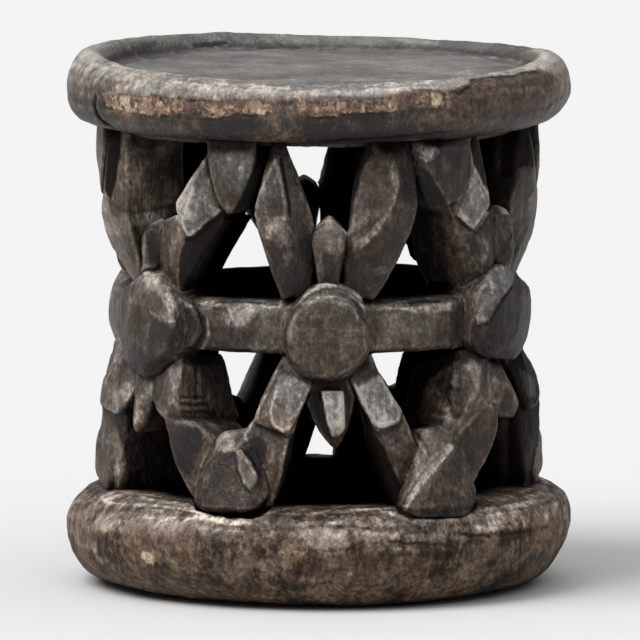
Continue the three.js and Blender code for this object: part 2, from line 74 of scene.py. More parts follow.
# ------------------------------------------------ the carving, as in the CAD
# outlines in (angle from the spider's own axis, height[, radius])
CARVING = {
    "body": [(-7.6, 234), (-4.1, 242), (-0.2, 246), (4.3, 244), (8.9, 236), (11, 222), (12.1, 207), (11.6, 195), (8.9, 183), (5.7, 176), (1.7, 171), (-2.8, 172), (-7.6, 180), (-10.8, 189), (-12.1, 200), (-12.1, 215), (-10.3, 226)],
    "head": [(0.8, 295, 158), (-2.8, 288, 160), (-4.1, 279, 163), (-2.8, 263, 163), (-2, 240, 160), (3, 240, 160), (4.1, 263, 163), (5.4, 275, 163), (5.7, 281, 162), (3.6, 289, 160)],
    "headRidge": [(0.8, 288, 168), (0.8, 262, 171)],
    "tail": [(-4.1, 176, 158), (-5.4, 160, 160), (-4.9, 149, 161), (-2.8, 136, 160), (0.3, 124, 156), (2.8, 118, 152), (4.1, 123, 153), (5.9, 134, 158), (7, 145, 160), (7.5, 156, 160), (5.4, 176, 158)],
    "tailRidge": [(-1.6, 162, 168), (3.2, 162, 168), (3.6, 136, 166), (1, 134, 166)],
    "ulThigh": [(-12.5, 231, 158), (-15.4, 258, 161), (-19.7, 293, 162), (-11.7, 297, 167), (-3.3, 289, 159), (-4.1, 279, 158), (-4.6, 250, 157), (-4, 236, 156)],
    "ulThighRidge": [(-8, 268, 166)],
    "ulShin": [(-20.2, 298, 162), (-17.8, 315, 161), (-15.2, 338, 160), (-15, 352, 158), (-11.6, 352, 158), (-7, 316, 159), (-3.3, 290, 158)],
    "ulShinRidge": [(-13, 334, 166), (-11.7, 297, 168)],
    "urThigh": [(5.5, 277, 159), (4.6, 248, 157), (5, 236, 156), (12.5, 231, 158), (17, 247, 159), (19.8, 261, 160), (21.8, 275, 161), (24.1, 288, 161), (24.9, 300, 161), (17, 305, 167)],
    "urThighRidge": [(11, 262, 163)],
    "urShin": [(5.5, 279, 160), (6.3, 297, 160), (7.3, 308, 160), (8.6, 323, 159), (10.8, 339, 159), (12.4, 352, 158), (23.3, 352, 158), (23.6, 314, 160), (24.9, 299, 162), (17, 304, 168)],
    "urShinRidge": [(16.5, 336, 166), (17, 310, 168)],
    "llThigh": [(-12.3, 190, 158), (-15.2, 173, 161), (-17.4, 160, 163), (-20, 140, 163), (-15.2, 139, 167), (-9.5, 134, 167), (-6.1, 154, 161), (-3.8, 171, 158), (-4, 182, 156)],
    "llThighRidge": [(-10.6, 180, 165), (-13.6, 158, 168)],
    "llShin": [(-20.5, 141, 160), (-7.6, 145, 158), (-10.8, 130, 160), (-12.9, 116, 160), (-14.8, 99, 159), (-15.6, 74, 158), (-25.5, 74, 158), (-24.6, 125, 159)],
    "llShinRidge": [(-15.6, 112, 163)],
    "lrThigh": [(5.9, 171, 158), (7.5, 160, 161), (12.8, 136, 167), (18.7, 138, 167), (20.4, 147, 162), (18.2, 159, 162), (14.6, 177, 160), (11.9, 190, 158), (5, 182, 156)],
    "lrThighRidge": [(11.2, 178, 165), (14, 158, 168)],
    "lrShin": [(9.6, 148, 158), (13.2, 137, 160), (16.5, 106, 160), (18.8, 74, 158), (25.5, 74, 158), (26, 114, 159), (22.8, 134, 160), (20.4, 149, 159)],
    "lrShinRidge": [(19, 112, 163)],
}
HOOP_LOBE = {"left": [(9, 228, 160), (13.5, 229, 163), (16.5, 227.5, 163.5), (19, 222, 163), (20.8, 212, 163), (20.8, 203, 163), (18.2, 194, 163), (13.5, 191, 162), (9, 192, 160)]}
KNEE = [(-3, 131, 158), (5.4, 134, 158), (8.6, 118, 163), (11.2, 100, 167), (12.2, 86, 168), (9.6, 74, 166), (-8.4, 74, 166), (-9.6, 84, 168), (-8.2, 102, 167), (-5.6, 118, 163)]
KNEE_RIDGE = [(0.5, 112, 171), (1, 88, 172)]
OWN = {
    "front": {
        "ulShinInner": [(-17, 350), (-14.5, 318), (-11, 292), (-19, 298), (-18.5, 338)],
    },
    "right": {
        "body": [0.6, 5, 0],
        "urThigh": [(5.5, 277, 159), (4.6, 248, 157), (5, 236, 156), (12.5, 231, 152), (20, 246, 155), (23, 257, 160.5), (25, 270, 165), (26, 288, 167), (27, 302, 166), (17, 303, 168)],
        "urShin": [(5.5, 279, 160), (7.3, 308, 160), (10.8, 339, 159), (13, 352, 158), (24, 352, 158), (26, 318, 163), (27, 298, 166), (17, 302, 168)],
        "lrThigh": [(5.9, 171, 158), (7.5, 160, 161), (12.8, 136, 167), (20, 136, 169), (24.5, 146, 169), (22.4, 164, 166), (17.6, 180, 160), (11.9, 190, 154), (5, 182, 156)],
        "lrShin": [(9.6, 148, 160), (13.2, 137, 162), (16.5, 106, 162), (18.8, 74, 160), (27, 74, 165), (28, 114, 168), (26.5, 134, 169), (22, 149, 168)],
        "ulShin": [(-15.9, 330, 160), (-16.6, 352, 158), (-10, 352, 158), (-12.2, 314, 165), (-7.7, 302, 165), (-9, 295, 162), (-14.8, 281, 160), (-21.1, 295, 162), (-19.1, 308, 165)],
        "ulShinRidge": [(-15, 306, 168)],
        "ulThigh": [(-12.9, 279, 160), (-5.8, 292, 160), (-1.9, 289, 158), (-1.9, 257, 158), (-10.9, 249, 158), (-12.3, 231, 158), (-4, 236, 156), (-14.4, 265, 160), (-20, 292, 160)],
        "ulInner": [(-16, 296), (-18, 282), (-16.4, 269), (-15.3, 252), (-9, 232), (-3, 236), (-3, 290)],
        "llInner": [(-15.4, 172), (-20.5, 156), (-21.5, 141), (-18, 124), (-8, 124), (-5, 172)],
        "llThigh": [(-12.3, 190, 158), (-17.3, 190, 156), (-11.6, 174, 162), (-6.6, 152, 163), (-9.6, 146, 164), (-15.4, 143, 163), (-21, 141, 160), (-17.5, 168, 157), (-5, 176, 156), (-5, 184, 156)],
        "llShin": [(-13.5, 147, 163), (-4.4, 147, 163), (-3.4, 132, 165), (-6.6, 114, 165), (-13.5, 100, 163), (-21.6, 124, 161), (-22, 141, 158), (-16, 74, 158), (-24, 74, 158)],
        "tail": [(-9, 177, 158), (-13.5, 168, 160), (-6.5, 148, 162), (-2.5, 136, 162), (4.9, 132, 163), (6.8, 144, 165), (4.9, 154, 164), (-1, 170, 162), (0, 178, 158)],
        "tailRidge": [(0, 158, 170), (2.6, 142, 170)],
    },
    "right_rear": {
        "body": [0, 0, -4],
        "shift": 1.2,
        "lrInner": [(14, 182), (20, 156), (23.6, 129), (12, 128), (8, 150), (5, 180)],
    },
    "rear": {
        "urThigh": [(5.5, 277, 159), (4.6, 248, 157), (5, 236, 156), (8.5, 231, 158), (10, 247, 159), (12.5, 261, 160), (17, 274, 161), (23.5, 288, 161), (24.9, 300, 161), (17, 305, 167)],
        "tail": [(-4.1, 176, 158), (-5.8, 150, 160), (-4.4, 110, 160), (-1.5, 94, 158), (2, 74, 152), (8.5, 74, 152), (9, 100, 158), (8.4, 134, 160), (7.5, 156, 160), (5.4, 176, 158)],
        "tailRidge": [(0.5, 150, 167), (3.6, 110, 165)],
        "lrThigh": [(5.9, 171, 158), (6.5, 160, 160), (8, 120, 163), (18, 116, 165), (19.5, 121, 163), (10.2, 152, 162), (8.8, 177, 160), (9.5, 190, 158), (5, 182, 156)],
        "lrThighRidge": [(9, 165, 166), (12, 130, 168)],
        "lrShin": [(9, 124, 158), (18.8, 74, 158), (25.5, 74, 158), (25, 108, 159), (21, 122, 160), (12, 127, 160)],
        "llShin": [(-20.5, 141, 160), (-7.6, 145, 158), (-8.4, 130, 160), (-7.8, 116, 160), (-7.2, 99, 159), (-7.4, 74, 158), (-25.5, 74, 158), (-24.6, 125, 159)],
    },
    "left_rear": {
        "shift": -1,
        "body": [-1, -9, -3],
    },
    "left": {
        "ulThigh": [(-12.5, 231, 150), (-20, 245, 154), (-23, 257, 160), (-25, 270, 165), (-27, 288, 166.5), (-27, 296, 165), (-18, 299, 169), (-8, 289, 164), (-7, 279, 163), (-4.6, 250, 157), (-4, 236, 156)],
        "ulThighRidge": [(-12, 268, 164)],
        "ulShin": [(-27, 296, 165), (-24, 318, 165), (-22, 338, 163), (-22, 352, 160), (-11.5, 352, 160), (-9, 318, 162), (-8, 290, 162)],
        "ulShinRidge": [(-17, 334, 169), (-17, 299, 170)],
        "llThigh": [(-12.3, 190, 152), (-18, 173, 160), (-25, 158, 166), (-29, 138, 167), (-18, 136, 169), (-10.5, 134, 167), (-6.1, 154, 161), (-3.8, 171, 158), (-4, 182, 156)],
        "llThighRidge": [(-12, 178, 164), (-18, 158, 170)],
        "llShin": [(-28.5, 141, 165), (-10, 141, 161), (-14, 110, 161), (-17, 74, 160), (-29, 74, 163), (-30, 125, 165)],
        "llShinRidge": [(-21, 112, 168)],
        "urShin": [(12.8, 303, 163), (13.8, 293, 163), (16.2, 281, 161), (18.4, 278, 161), (28, 300, 162), (24.5, 328, 160), (32, 352, 156), (25, 352, 156)],
        "urShinRidge": [(20, 306, 169)],
        "urThigh": [(6, 286, 158), (12.1, 293, 160), (16.8, 281, 161), (13.6, 256, 160), (12.8, 231, 158), (7.9, 236, 158), (4.6, 246, 157), (26, 290, 159)],
        "urInner": [(22, 286), (26.3, 290), (12.6, 252), (4.3, 232), (-2, 240), (2, 286)],
        "lrThigh": [(0.2, 169, 158), (4, 176, 158), (11.9, 190, 158), (14.1, 185, 157), (13.8, 140, 162), (8.5, 138, 164), (4.6, 143, 163)],
        "lrInner": [(9, 184), (11, 180), (15.2, 153), (20.5, 134), (8, 132), (0, 170)],
        "lrShin": [(7.7, 141, 162), (14.2, 138, 165), (19.8, 136, 164), (22.9, 127, 162), (21.3, 112, 160), (19.8, 98, 160), (16.5, 96, 163), (13.2, 102, 165), (10.3, 120, 164), (19, 74, 158), (25, 74, 158), (25, 125, 158)],
        "tail": [(-6, 127, 163), (-3.5, 122, 163), (0.8, 132, 164), (3.2, 150, 162), (4.2, 169, 158), (0, 176, 157), (-4, 170, 160), (-5, 155, 163)],
        "tailRidge": [(-1, 150, 168), (-2.4, 134, 167)],
    },
}
PENDANT = [(-6.2, 352, 164), (7, 352, 164), (9.2, 334, 166), (8.2, 314, 167), (4.6, 301, 165), (1, 296, 163), (-3.6, 304, 164), (-6.4, 324, 166)]
PROUD = {
    "front_to_right": [0, 0, 1.5, 2],
    "right_to_right_rear": [2, -1, -1, 0],
    "left_rear_to_left": [3, 0, 2, 2],
    "left_to_front": [0, 0, 2.5, 0.5],
}
SPIDERS = {"front": 2.3, "right": 59, "right_rear": 123, "rear": 183.5, "left_rear": 242, "left": -54}

# ------------------------------------------------------------------- helpers
def at(a, r, z):
    a = np.asarray(a, float) * RAD
    return np.stack([r * np.sin(a), -r * np.cos(a), z + 0 * a], -1)


def px(x, y, r):
    """The point where the sight line through picture point (x, y) meets the drum at radius r."""
    f = np.array([0, math.cos(CAM_PITCH), -math.sin(CAM_PITCH)])
    u = np.array([0, math.sin(CAM_PITCH), math.cos(CAM_PITCH)])
    d = f + np.array([1.0, 0, 0]) * (x - CAM_CX) / CAM_F - u * (y - 320) / CAM_F
    a = d[0] ** 2 + d[1] ** 2
    b = 2 * (-CAM_D * d[1])
    c = CAM_D ** 2 - r * r
    disc = b * b - 4 * a * c
    t = (-b - math.sqrt(disc)) / (2 * a) if disc > 0 else -b / (2 * a)
    return np.array([0, -CAM_D, CAM_H]) + t * d


def to_px(p):
    v = p - np.array([0, -CAM_D, CAM_H])
    d = v[:, 1] * math.cos(CAM_PITCH) - v[:, 2] * math.sin(CAM_PITCH)
    u = v[:, 1] * math.sin(CAM_PITCH) + v[:, 2] * math.cos(CAM_PITCH)
    return np.stack([CAM_CX + CAM_F * v[:, 0] / d, 320 - CAM_F * u / d], -1)


# ------------------------------------------------------------- noise, seeded
RNG = np.random.RandomState(11)
LAT = (RNG.rand(6, 32, 32, 32) * 2 - 1).astype(np.float32)
JIT = RNG.rand(16, 16, 16, 3).astype(np.float32)
CELL = RNG.rand(16, 16, 16).astype(np.float32)
TURN = np.linalg.qr(RNG.randn(3, 3))[0].astype(np.float32)


def noise(p, wave, ch=0):
    """Smooth noise in -1..1 with features of about wave mm."""
    q = (np.asarray(p, np.float32) @ TURN) / np.float32(wave) + np.float32(3.7 * ch + 101.3)
    i = np.floor(q).astype(np.int32)
    f = q - i
    f = f * f * (3 - 2 * f)
    i &= 31
    j = (i + 1) & 31
    L = LAT[ch % 6]
    fx, fy, fz = f[:, 0], f[:, 1], f[:, 2]
    x0, y0, z0, x1, y1, z1 = i[:, 0], i[:, 1], i[:, 2], j[:, 0], j[:, 1], j[:, 2]
    a = L[x0, y0, z0] * (1 - fx) + L[x1, y0, z0] * fx
    b = L[x0, y1, z0] * (1 - fx) + L[x1, y1, z0] * fx
    c = L[x0, y0, z1] * (1 - fx) + L[x1, y0, z1] * fx
    d = L[x0, y1, z1] * (1 - fx) + L[x1, y1, z1] * fx
    return (a * (1 - fy) + b * fy) * (1 - fz) + (c * (1 - fy) + d * fy) * fz


def fbm(p, wave, octaves=3, ch=0, gain=0.5):
    s, amp, total = 0, 1.0, 0.0
    for k in range(octaves):
        s = s + amp * noise(p, wave / 2 ** k, ch + k)
        total += amp
        amp *= gain
    return s / total


def cells(q):
    """Distances to the nearest and second nearest scattered points, and the nearest one's random number."""
    q = np.asarray(q, np.float32)
    i = np.floor(q).astype(np.int32)
    f = q - i
    best = np.full(len(q), 9.0, np.float32)
    second = best.copy()
    kind = np.zeros(len(q), np.float32)
    for dx in (-1, 0, 1):
        for dy in (-1, 0, 1):
            for dz in (-1, 0, 1):
                c = (i + np.array([dx, dy, dz], np.int32)) & 15
                v = JIT[c[:, 0], c[:, 1], c[:, 2]] + np.array([dx, dy, dz], np.float32) - f
                d = (v * v).sum(1)
                near = d < best
                second = np.where(near, best, np.minimum(second, d))
                kind = np.where(near, CELL[c[:, 0], c[:, 1], c[:, 2]], kind)
                best = np.where(near, d, best)
    return np.sqrt(best), np.sqrt(second), kind


def ramp(v, a, b):
    t = np.clip((v - a) / (b - a), 0, 1)
    return t * t * (3 - 2 * t)


def warp(p):
    """A hand's unevenness: everything is bent a little by the same slow field."""
    w = np.stack([noise(p, 34, 0), noise(p, 31, 1), noise(p, 37, 2)], -1) * 1.3
    w += np.stack([noise(p, 13, 3), noise(p, 12, 4), noise(p, 14, 5)], -1) * 0.22
    return p + w


# ------------------------------------------------- solids as distance fields
def hull(points, k=0.9, grow=0.0):
    """A block with worn edges: the planes of the hull of its corners."""
    bm = bmesh.new()
    for p in points:
        bm.verts.new(p)
    bmesh.ops.convex_hull(bm, input=list(bm.verts), use_existing_faces=False)
    c = np.mean(points, 0)
    found = []
    for f in bm.faces:
        n = np.array(f.normal)
        if np.linalg.norm(n) < 0.5:
            continue
        d = float(n @ np.array(f.calc_center_median()))
        if n @ c - d > 0:
            n, d = -n, -d
        found.append((f.calc_area(), n, d))
    bm.free()
    found.sort(key=lambda t: -t[0])
    planes = []
    for area, n, d in found:
        for q in planes:
            m = q[1] / np.linalg.norm(q[1])
            if m @ n > 0.9975 and abs(q[2] / q[0] - d) < 1.6:
                q[0] += area
                q[1] = q[1] + n * area
                q[2] += d * area
                break
        else:
            planes.append([area, n * area, d * area])
    N = np.array([q[1] / np.linalg.norm(q[1]) for q in planes], np.float32)
    D = np.array([q[2] / q[0] for q in planes], np.float32)
    # a merged plane still has to reach the corners it stands for
    return {"n": N, "d": D + grow + 0.5 * k, "k": np.float32(k)}


def field(b, p):
    v = p @ b["n"].T - b["d"]
    m = v.max(1)
    return m + b["k"] * np.log(np.exp((v - m[:, None]) / b["k"]).sum(1))


def smin(a, b, k):
    h = np.clip(1 - np.abs(a - b) / k, 0, 1)
    return np.minimum(a, b) - h * h * k * 0.25


def smax(a, b, k):
    h = np.clip(1 - np.abs(a - b) / k, 0, 1)
    return np.maximum(a, b) + h * h * k * 0.25


def radial(at0, outline, r=DRUM_R, rin=DRUM_IN, shrink=0.92, leg=False, inner=None, ridge=()):
    ca = sum(p[0] for p in outline) / len(outline)
    cz = sum(p[1] for p in outline) / len(outline)
    pts = []
    for p in outline:
        pts.append(at(at0 + p[0], p[2] if len(p) > 2 else r, p[1]))
        k = (NEAR if abs(p[0]) < abs(ca) else FAR) if leg else shrink
        if inner is None:
            pts.append(at(at0 + ca + (p[0] - ca) * k, rin, cz + (p[1] - cz) * 0.92))
    for p in inner or ():
        pts.append(at(at0 + p[0], p[2] if len(p) > 2 else rin, p[1]))
    for p in ridge or ():
        pts.append(at(at0 + p[0], p[2], p[1]))
    return pts


def scaled(outline, f, r):
    ca = sum(p[0] for p in outline) / len(outline)
    cz = sum(p[1] for p in outline) / len(outline)
    return [(ca + (p[0] - ca) * f, cz + (p[1] - cz) * f, r) for p in outline]


def facet(*corners):
    """Corners (x, y, radius) of a flat cut, placed where the view from the front shows them."""
    return [px(*c) for c in corners]


def plate(corners, rin=112, k=0.85, kz=0.92):
    """A block whose outer corners (x, y, radius) are placed where the view from the front shows them."""
    P = np.array([px(*c) for c in corners])
    a = np.degrees(np.arctan2(P[:, 0], -P[:, 1]))
    z = P[:, 2]
    return list(P) + list(at(a.mean() + (a - a.mean()) * k, rin, z.mean() + (z - z.mean()) * kz))


class Element:
    """One carved element: blocks joined, cuts taken out, in drum millimetres."""

    def __init__(self, name, blocks, fns=(), join=2.5, cuts=(), scoop=(11, 0.55), along=(0, 0, 1), slot="carved_wood", soft=4.0):
        self.soft, self.inner_shade = soft, 1.0
        self.name, self.blocks, self.fns, self.join, self.cuts = name, blocks, list(fns), join, list(cuts)
        self.scoop, self.along, self.slot = scoop, np.array(along, float), slot
        self.planes = []
        self.foot = BASE_TOP - 2.0
        self.lo = self.hi = None

    def slice(self, corners, centre):
        """A flat cut through three picture points (x, y, radius); the side with centre stays."""
        a, b, c = [px(*q) for q in corners]
        n = np.cross(b - a, c - a)
        n /= np.linalg.norm(n)
        if n @ (centre - a) > 0:
            n = -n
        self.planes.append((n.astype(np.float32), np.float32(n @ a)))

    def raw(self, p):
        d = None
        for b in self.blocks:
            v = field(b, p)
            d = v if d is None else smin(d, v, self.join)
        for fn in self.fns:
            v = fn(p)
            d = v if d is None else smin(d, v, self.join)
        for c in self.cuts:
            d = smax(d, -field(c, p), 0.8)
        for n, o in self.planes:
            d = smax(d, p @ n - o, 0.7)
        return d

    def tones(self, p):
        """A number for each flat cut, so that neighbouring cuts differ a little in colour."""
        best = np.full(len(p), 1e9)
        tone = np.zeros(len(p))
        rs = np.random.RandomState(sum(map(ord, self.name)))
        for b in self.blocks:
            t = rs.rand(len(b["d"])) * 2 - 1
            v = p @ b["n"].T - b["d"]
            k = v.argmax(1)
            m = v[np.arange(len(p)), k]
            near = np.abs(m) < best
            best = np.where(near, np.abs(m), best)
            tone = np.where(near, t[k], tone)
        return tone

# -------------------------------------------------------- the carved elements
def own_of(key, part):
    return OWN.get(key, {}).get(part, CARVING.get(part))


def bite(b, pts, count, depth, seed, toward=None, spread=1.0):
    """Cuts a few shallow facets off a block's corners and ridges."""
    rs = np.random.RandomState(seed)
    P = np.array(pts, np.float32)
    n_new, d_new = [], []
    for _ in range(count):
        v = rs.randn(3) * spread
        if toward is not None:
            v = v + np.array(toward) * 1.4
        v /= np.linalg.norm(v)
        if (b["n"] @ v.astype(np.float32)).max() > 0.93:
            continue
        n_new.append(v)
        d_new.append(float((P @ v.astype(np.float32)).max()) - depth * (0.35 + 0.65 * rs.rand()))
    if n_new:
        b["n"] = np.concatenate([b["n"], np.array(n_new, np.float32)])
        b["d"] = np.concatenate([b["d"], np.array(d_new, np.float32)])
    return b


def made(pts, k=0.9, bites=0, depth=1.5, seed=1, toward=None, grow=0.0):
    b = hull(pts, k, grow)
    b["pts"] = np.array(pts)
    return bite(b, pts, bites, depth, seed, toward) if bites else b


# flat cuts and ridges measured on the three spiders that the front view shows
FACETS = {
    ("front", "ulShin"): facet((274, 160, 166), (282, 190, 169), (285, 218, 169), (262, 187, 164), (253, 211, 163), (255, 219, 163.5)),
    ("front", "ulThigh"): facet((256, 221, 163.5), (264, 243, 163.5), (290, 251, 167), (298, 249, 164.5), (285, 219, 168.8), (281, 275, 161)),
    ("front", "urShin"): facet((389, 161, 166), (397, 183, 168.5), (394, 204, 169), (408, 172, 162), (417, 190, 161)),
    ("front", "urThigh"): facet((394, 206, 168.5), (375, 233, 168), (363, 247, 166), (352, 247, 161), (385, 262, 163.5)),
    ("front", "llThigh"): facet((284, 370, 163), (296, 372, 165), (313, 388, 164.5), (302, 412, 168.5), (291, 431, 168.5), (283, 434, 168.5), (274, 430, 168.5), (268, 419, 168), (271, 404, 167.5)),
    ("front", "lrThigh"): facet((353, 385, 164), (374, 364, 163.5), (403, 409, 168), (400, 419, 168.5), (382, 431, 168.5), (375, 428, 168)),
    ("front", "head"): facet((331, 222, 166), (343, 233, 167), (344, 250, 169), (339, 270, 169.5), (321, 270, 169), (318, 240, 168)),
    ("left", "urShin"): facet((204, 156, 163.5), (187, 180, 164), (172.5, 203, 164.5), (184, 234, 164.5), (192, 236, 165.5), (221, 210, 166), (212, 198, 167)),
    ("right", "ulShin"): facet((474, 170, 165), (492, 203, 164.5), (476, 230, 165), (457, 213, 165)),
}
KNEE_FACETS = {
    "left_to_front": facet((215, 454, 169.5), (234, 452, 170.5), (249, 488, 171.5), (247, 514, 180), (205, 513, 179), (200, 478, 168.5), (217, 438, 163), (232, 432, 163)),
    "front_to_right": facet((452, 445, 170), (441, 465, 171.5), (414, 519, 186), (426, 457, 165), (401, 514, 177), (470, 467, 168), (478, 492, 169), (471, 518, 186)),
}
PENDANT_PLATES = {
    "left_to_front": plate([(206, 132, 164), (254, 132, 164), (256, 156, 166), (251, 172, 166.5), (243, 191, 167), (232, 214, 165), (228, 215, 165), (219, 206, 165.5), (211, 186, 166), (205, 162, 165.5), (214, 160, 169), (246, 159, 169), (239, 188, 169.8)]),
    "front_to_right": plate([(411, 132, 161), (471, 132, 163), (473, 165, 164), (472, 182, 164.5), (464, 196, 165), (455, 204, 167), (446, 208, 167.5), (437, 211, 162), (427, 208, 160), (419, 190, 160), (412, 163, 160), (426, 157, 171.5), (438, 149, 171), (449, 203, 171), (461, 182, 169.5)]),
}
BODY_PLATES = {
    "left": [plate([(130, 282, 167), (146, 271, 166), (160, 273, 166), (171, 288, 166), (181, 304, 166), (184, 330, 166), (179, 350, 166), (171, 363, 166), (158, 373, 166), (143, 378, 165), (128, 363, 166), (121, 349, 166), (117, 328, 166), (117, 305, 166), (122, 290, 166), (140, 292, 176), (157, 287, 174), (170, 306, 176), (172, 330, 177), (162, 350, 175), (146, 357, 174), (131, 342, 174), (127, 315, 175), (150, 320, 178)])],
    "right": [plate([(483, 280, 168), (499, 265, 166), (515, 270, 167), (530, 285, 167), (533, 305, 168), (530, 330, 168), (525, 347, 167), (516, 360, 166), (492, 360, 166), (478, 352, 166), (470, 344, 165), (473, 322, 168), (473, 298, 167), (510, 289, 176), (499, 302, 177.5), (487, 321, 176), (484, 338, 174), (500, 350, 174), (514, 344, 176), (522, 325, 176), (523, 300, 176)])],
}
TAIL_LOBE = plate([(322, 390, 166), (344, 391, 166), (346.5, 412, 170), (346, 430, 171), (339, 438, 169), (330, 437, 169), (326, 420, 171), (321, 404, 169)], rin=130, k=0.8)

ELEMENTS = []
KEYS = list(SPIDERS)
KEYS = ["front", "right", "right_rear", "rear", "left_rear", "left"]


def gap_to(i):
    a, b = KEYS[i], KEYS[(i + 1) % 6]
    s, to = SPIDERS[a], SPIDERS[b]
    while to < s:
        to += 360
    return a, b, s, to


def outward(a):
    return at(a, 1.0, 0.0)


seed = 20
for key in KEYS:
    s = SPIDERS[key]
    own = OWN.get(key, {})
    da, dz, dr = own.get("body", [0, 0, 0])
    o = [(a + da, z + dz) for a, z in CARVING["body"]]
    seed += 1
    collar = radial(s, scaled(o, 1.0, 158), shrink=0.86, rin=112)
    collar += [at(s + a, r, z) for a, z, r in scaled(o, 0.97, 166 + dr / 3)]
    if key == "front":
        ring = lambda rad_px, r: [px(328.5 + rad_px * math.cos(t), 338 + rad_px * math.sin(t), r) for t in np.linspace(0, 2 * math.pi, 20, endpoint=False)]
        dome = ring(43, 160) + ring(43, 168.5) + ring(38.5, 174.2) + ring(29, 176)
        blocks = [made(collar, 0.8), made(dome, 0.8, 12, 1.2, 5, outward(s))]
    else:
        dome = [at(s + a, r, z) for a, z, r in scaled(o, 0.97, 160)] + [at(s + a, r, z) for a, z, r in scaled(o, 0.93, 168 + dr / 2)]
        dome += [at(s + a, r, z) for a, z, r in scaled(o, 0.62, 177.5 + dr)]
        blocks = [made(collar, 1.0), made(dome, 0.9, 26, 3.2, seed * 7, outward(s))]
        if key in BODY_PLATES:
            blocks = [made(q, 0.6, 9, 1.6, seed * 3, outward(s)) for q in BODY_PLATES[key]]
    tail = radial(s, own_of(key, "tail"), rin=126, shrink=0.8, ridge=None if key == "front" else own_of(key, "tailRidge"))
    blocks.append(made(tail, 0.7, 5, 1.6, seed + 100, outward(s)))
    if key == "front":
        blocks.append(made(TAIL_LOBE, 0.5))
    ELEMENTS.append(Element(f"spider_{key}_body", blocks, join=2.2, scoop=(12, 0.6), along=(0, 0, 1)))
    low, drop = (6, 8) if key == "left" else (0, 0)
    head = radial(s, [(x, z - drop, r - low) for x, z, r in own_of(key, "head")], rin=128, shrink=0.8, ridge=None if (key, "head") in FACETS else [(x, z - drop, r - low) for x, z, r in own_of(key, "headRidge")])
    head = head + list(FACETS.get((key, "head"), []))
    ELEMENTS.append(Element(f"spider_{key}_head", [made(head, 0.7, 6, 1.4, seed + 200, outward(s))], scoop=(9, 0.45)))
    shift = own.get("shift", 0)
    for side, sign, thigh, shin in (("upper_leg_left", -1, "ulThigh", "ulShin"), ("upper_leg_right", 1, "urThigh", "urShin"), ("lower_leg_left", -1, "llThigh", "llShin"), ("lower_leg_right", 1, "lrThigh", "lrShin")):
        blocks = []
        for part, rin in ((thigh, DRUM_IN), (shin, 110)):
            seed += 1
            extra = FACETS.get((key, part))
            inner = own.get({"ulThigh": "ulInner", "urThigh": "urInner", "llThigh": "llInner", "lrThigh": "lrInner", "ulShin": "ulShinInner"}.get(part, ""))
            ridge = None if extra is not None else own_of(key, part + "Ridge")
            pts = radial(s + sign * shift, own_of(key, part), rin=rin, leg=True, inner=inner, ridge=ridge)
            pts = pts + list(extra or [])
            blocks.append(made(pts, 0.55, 5, 2.0, seed * 3, outward(s + sign * 12)))
        lean = at(s + sign * 18, 1.0, 0) - at(s + sign * 6, 1.0, 0)
        along = np.array([lean[0] * 2.2, lean[1] * 2.2, 0.9 if "upper" in side else -0.9])
        ELEMENTS.append(Element(f"spider_{key}_{side}", blocks, join=2.5, scoop=(10, 0.6), along=along / np.linalg.norm(along)))

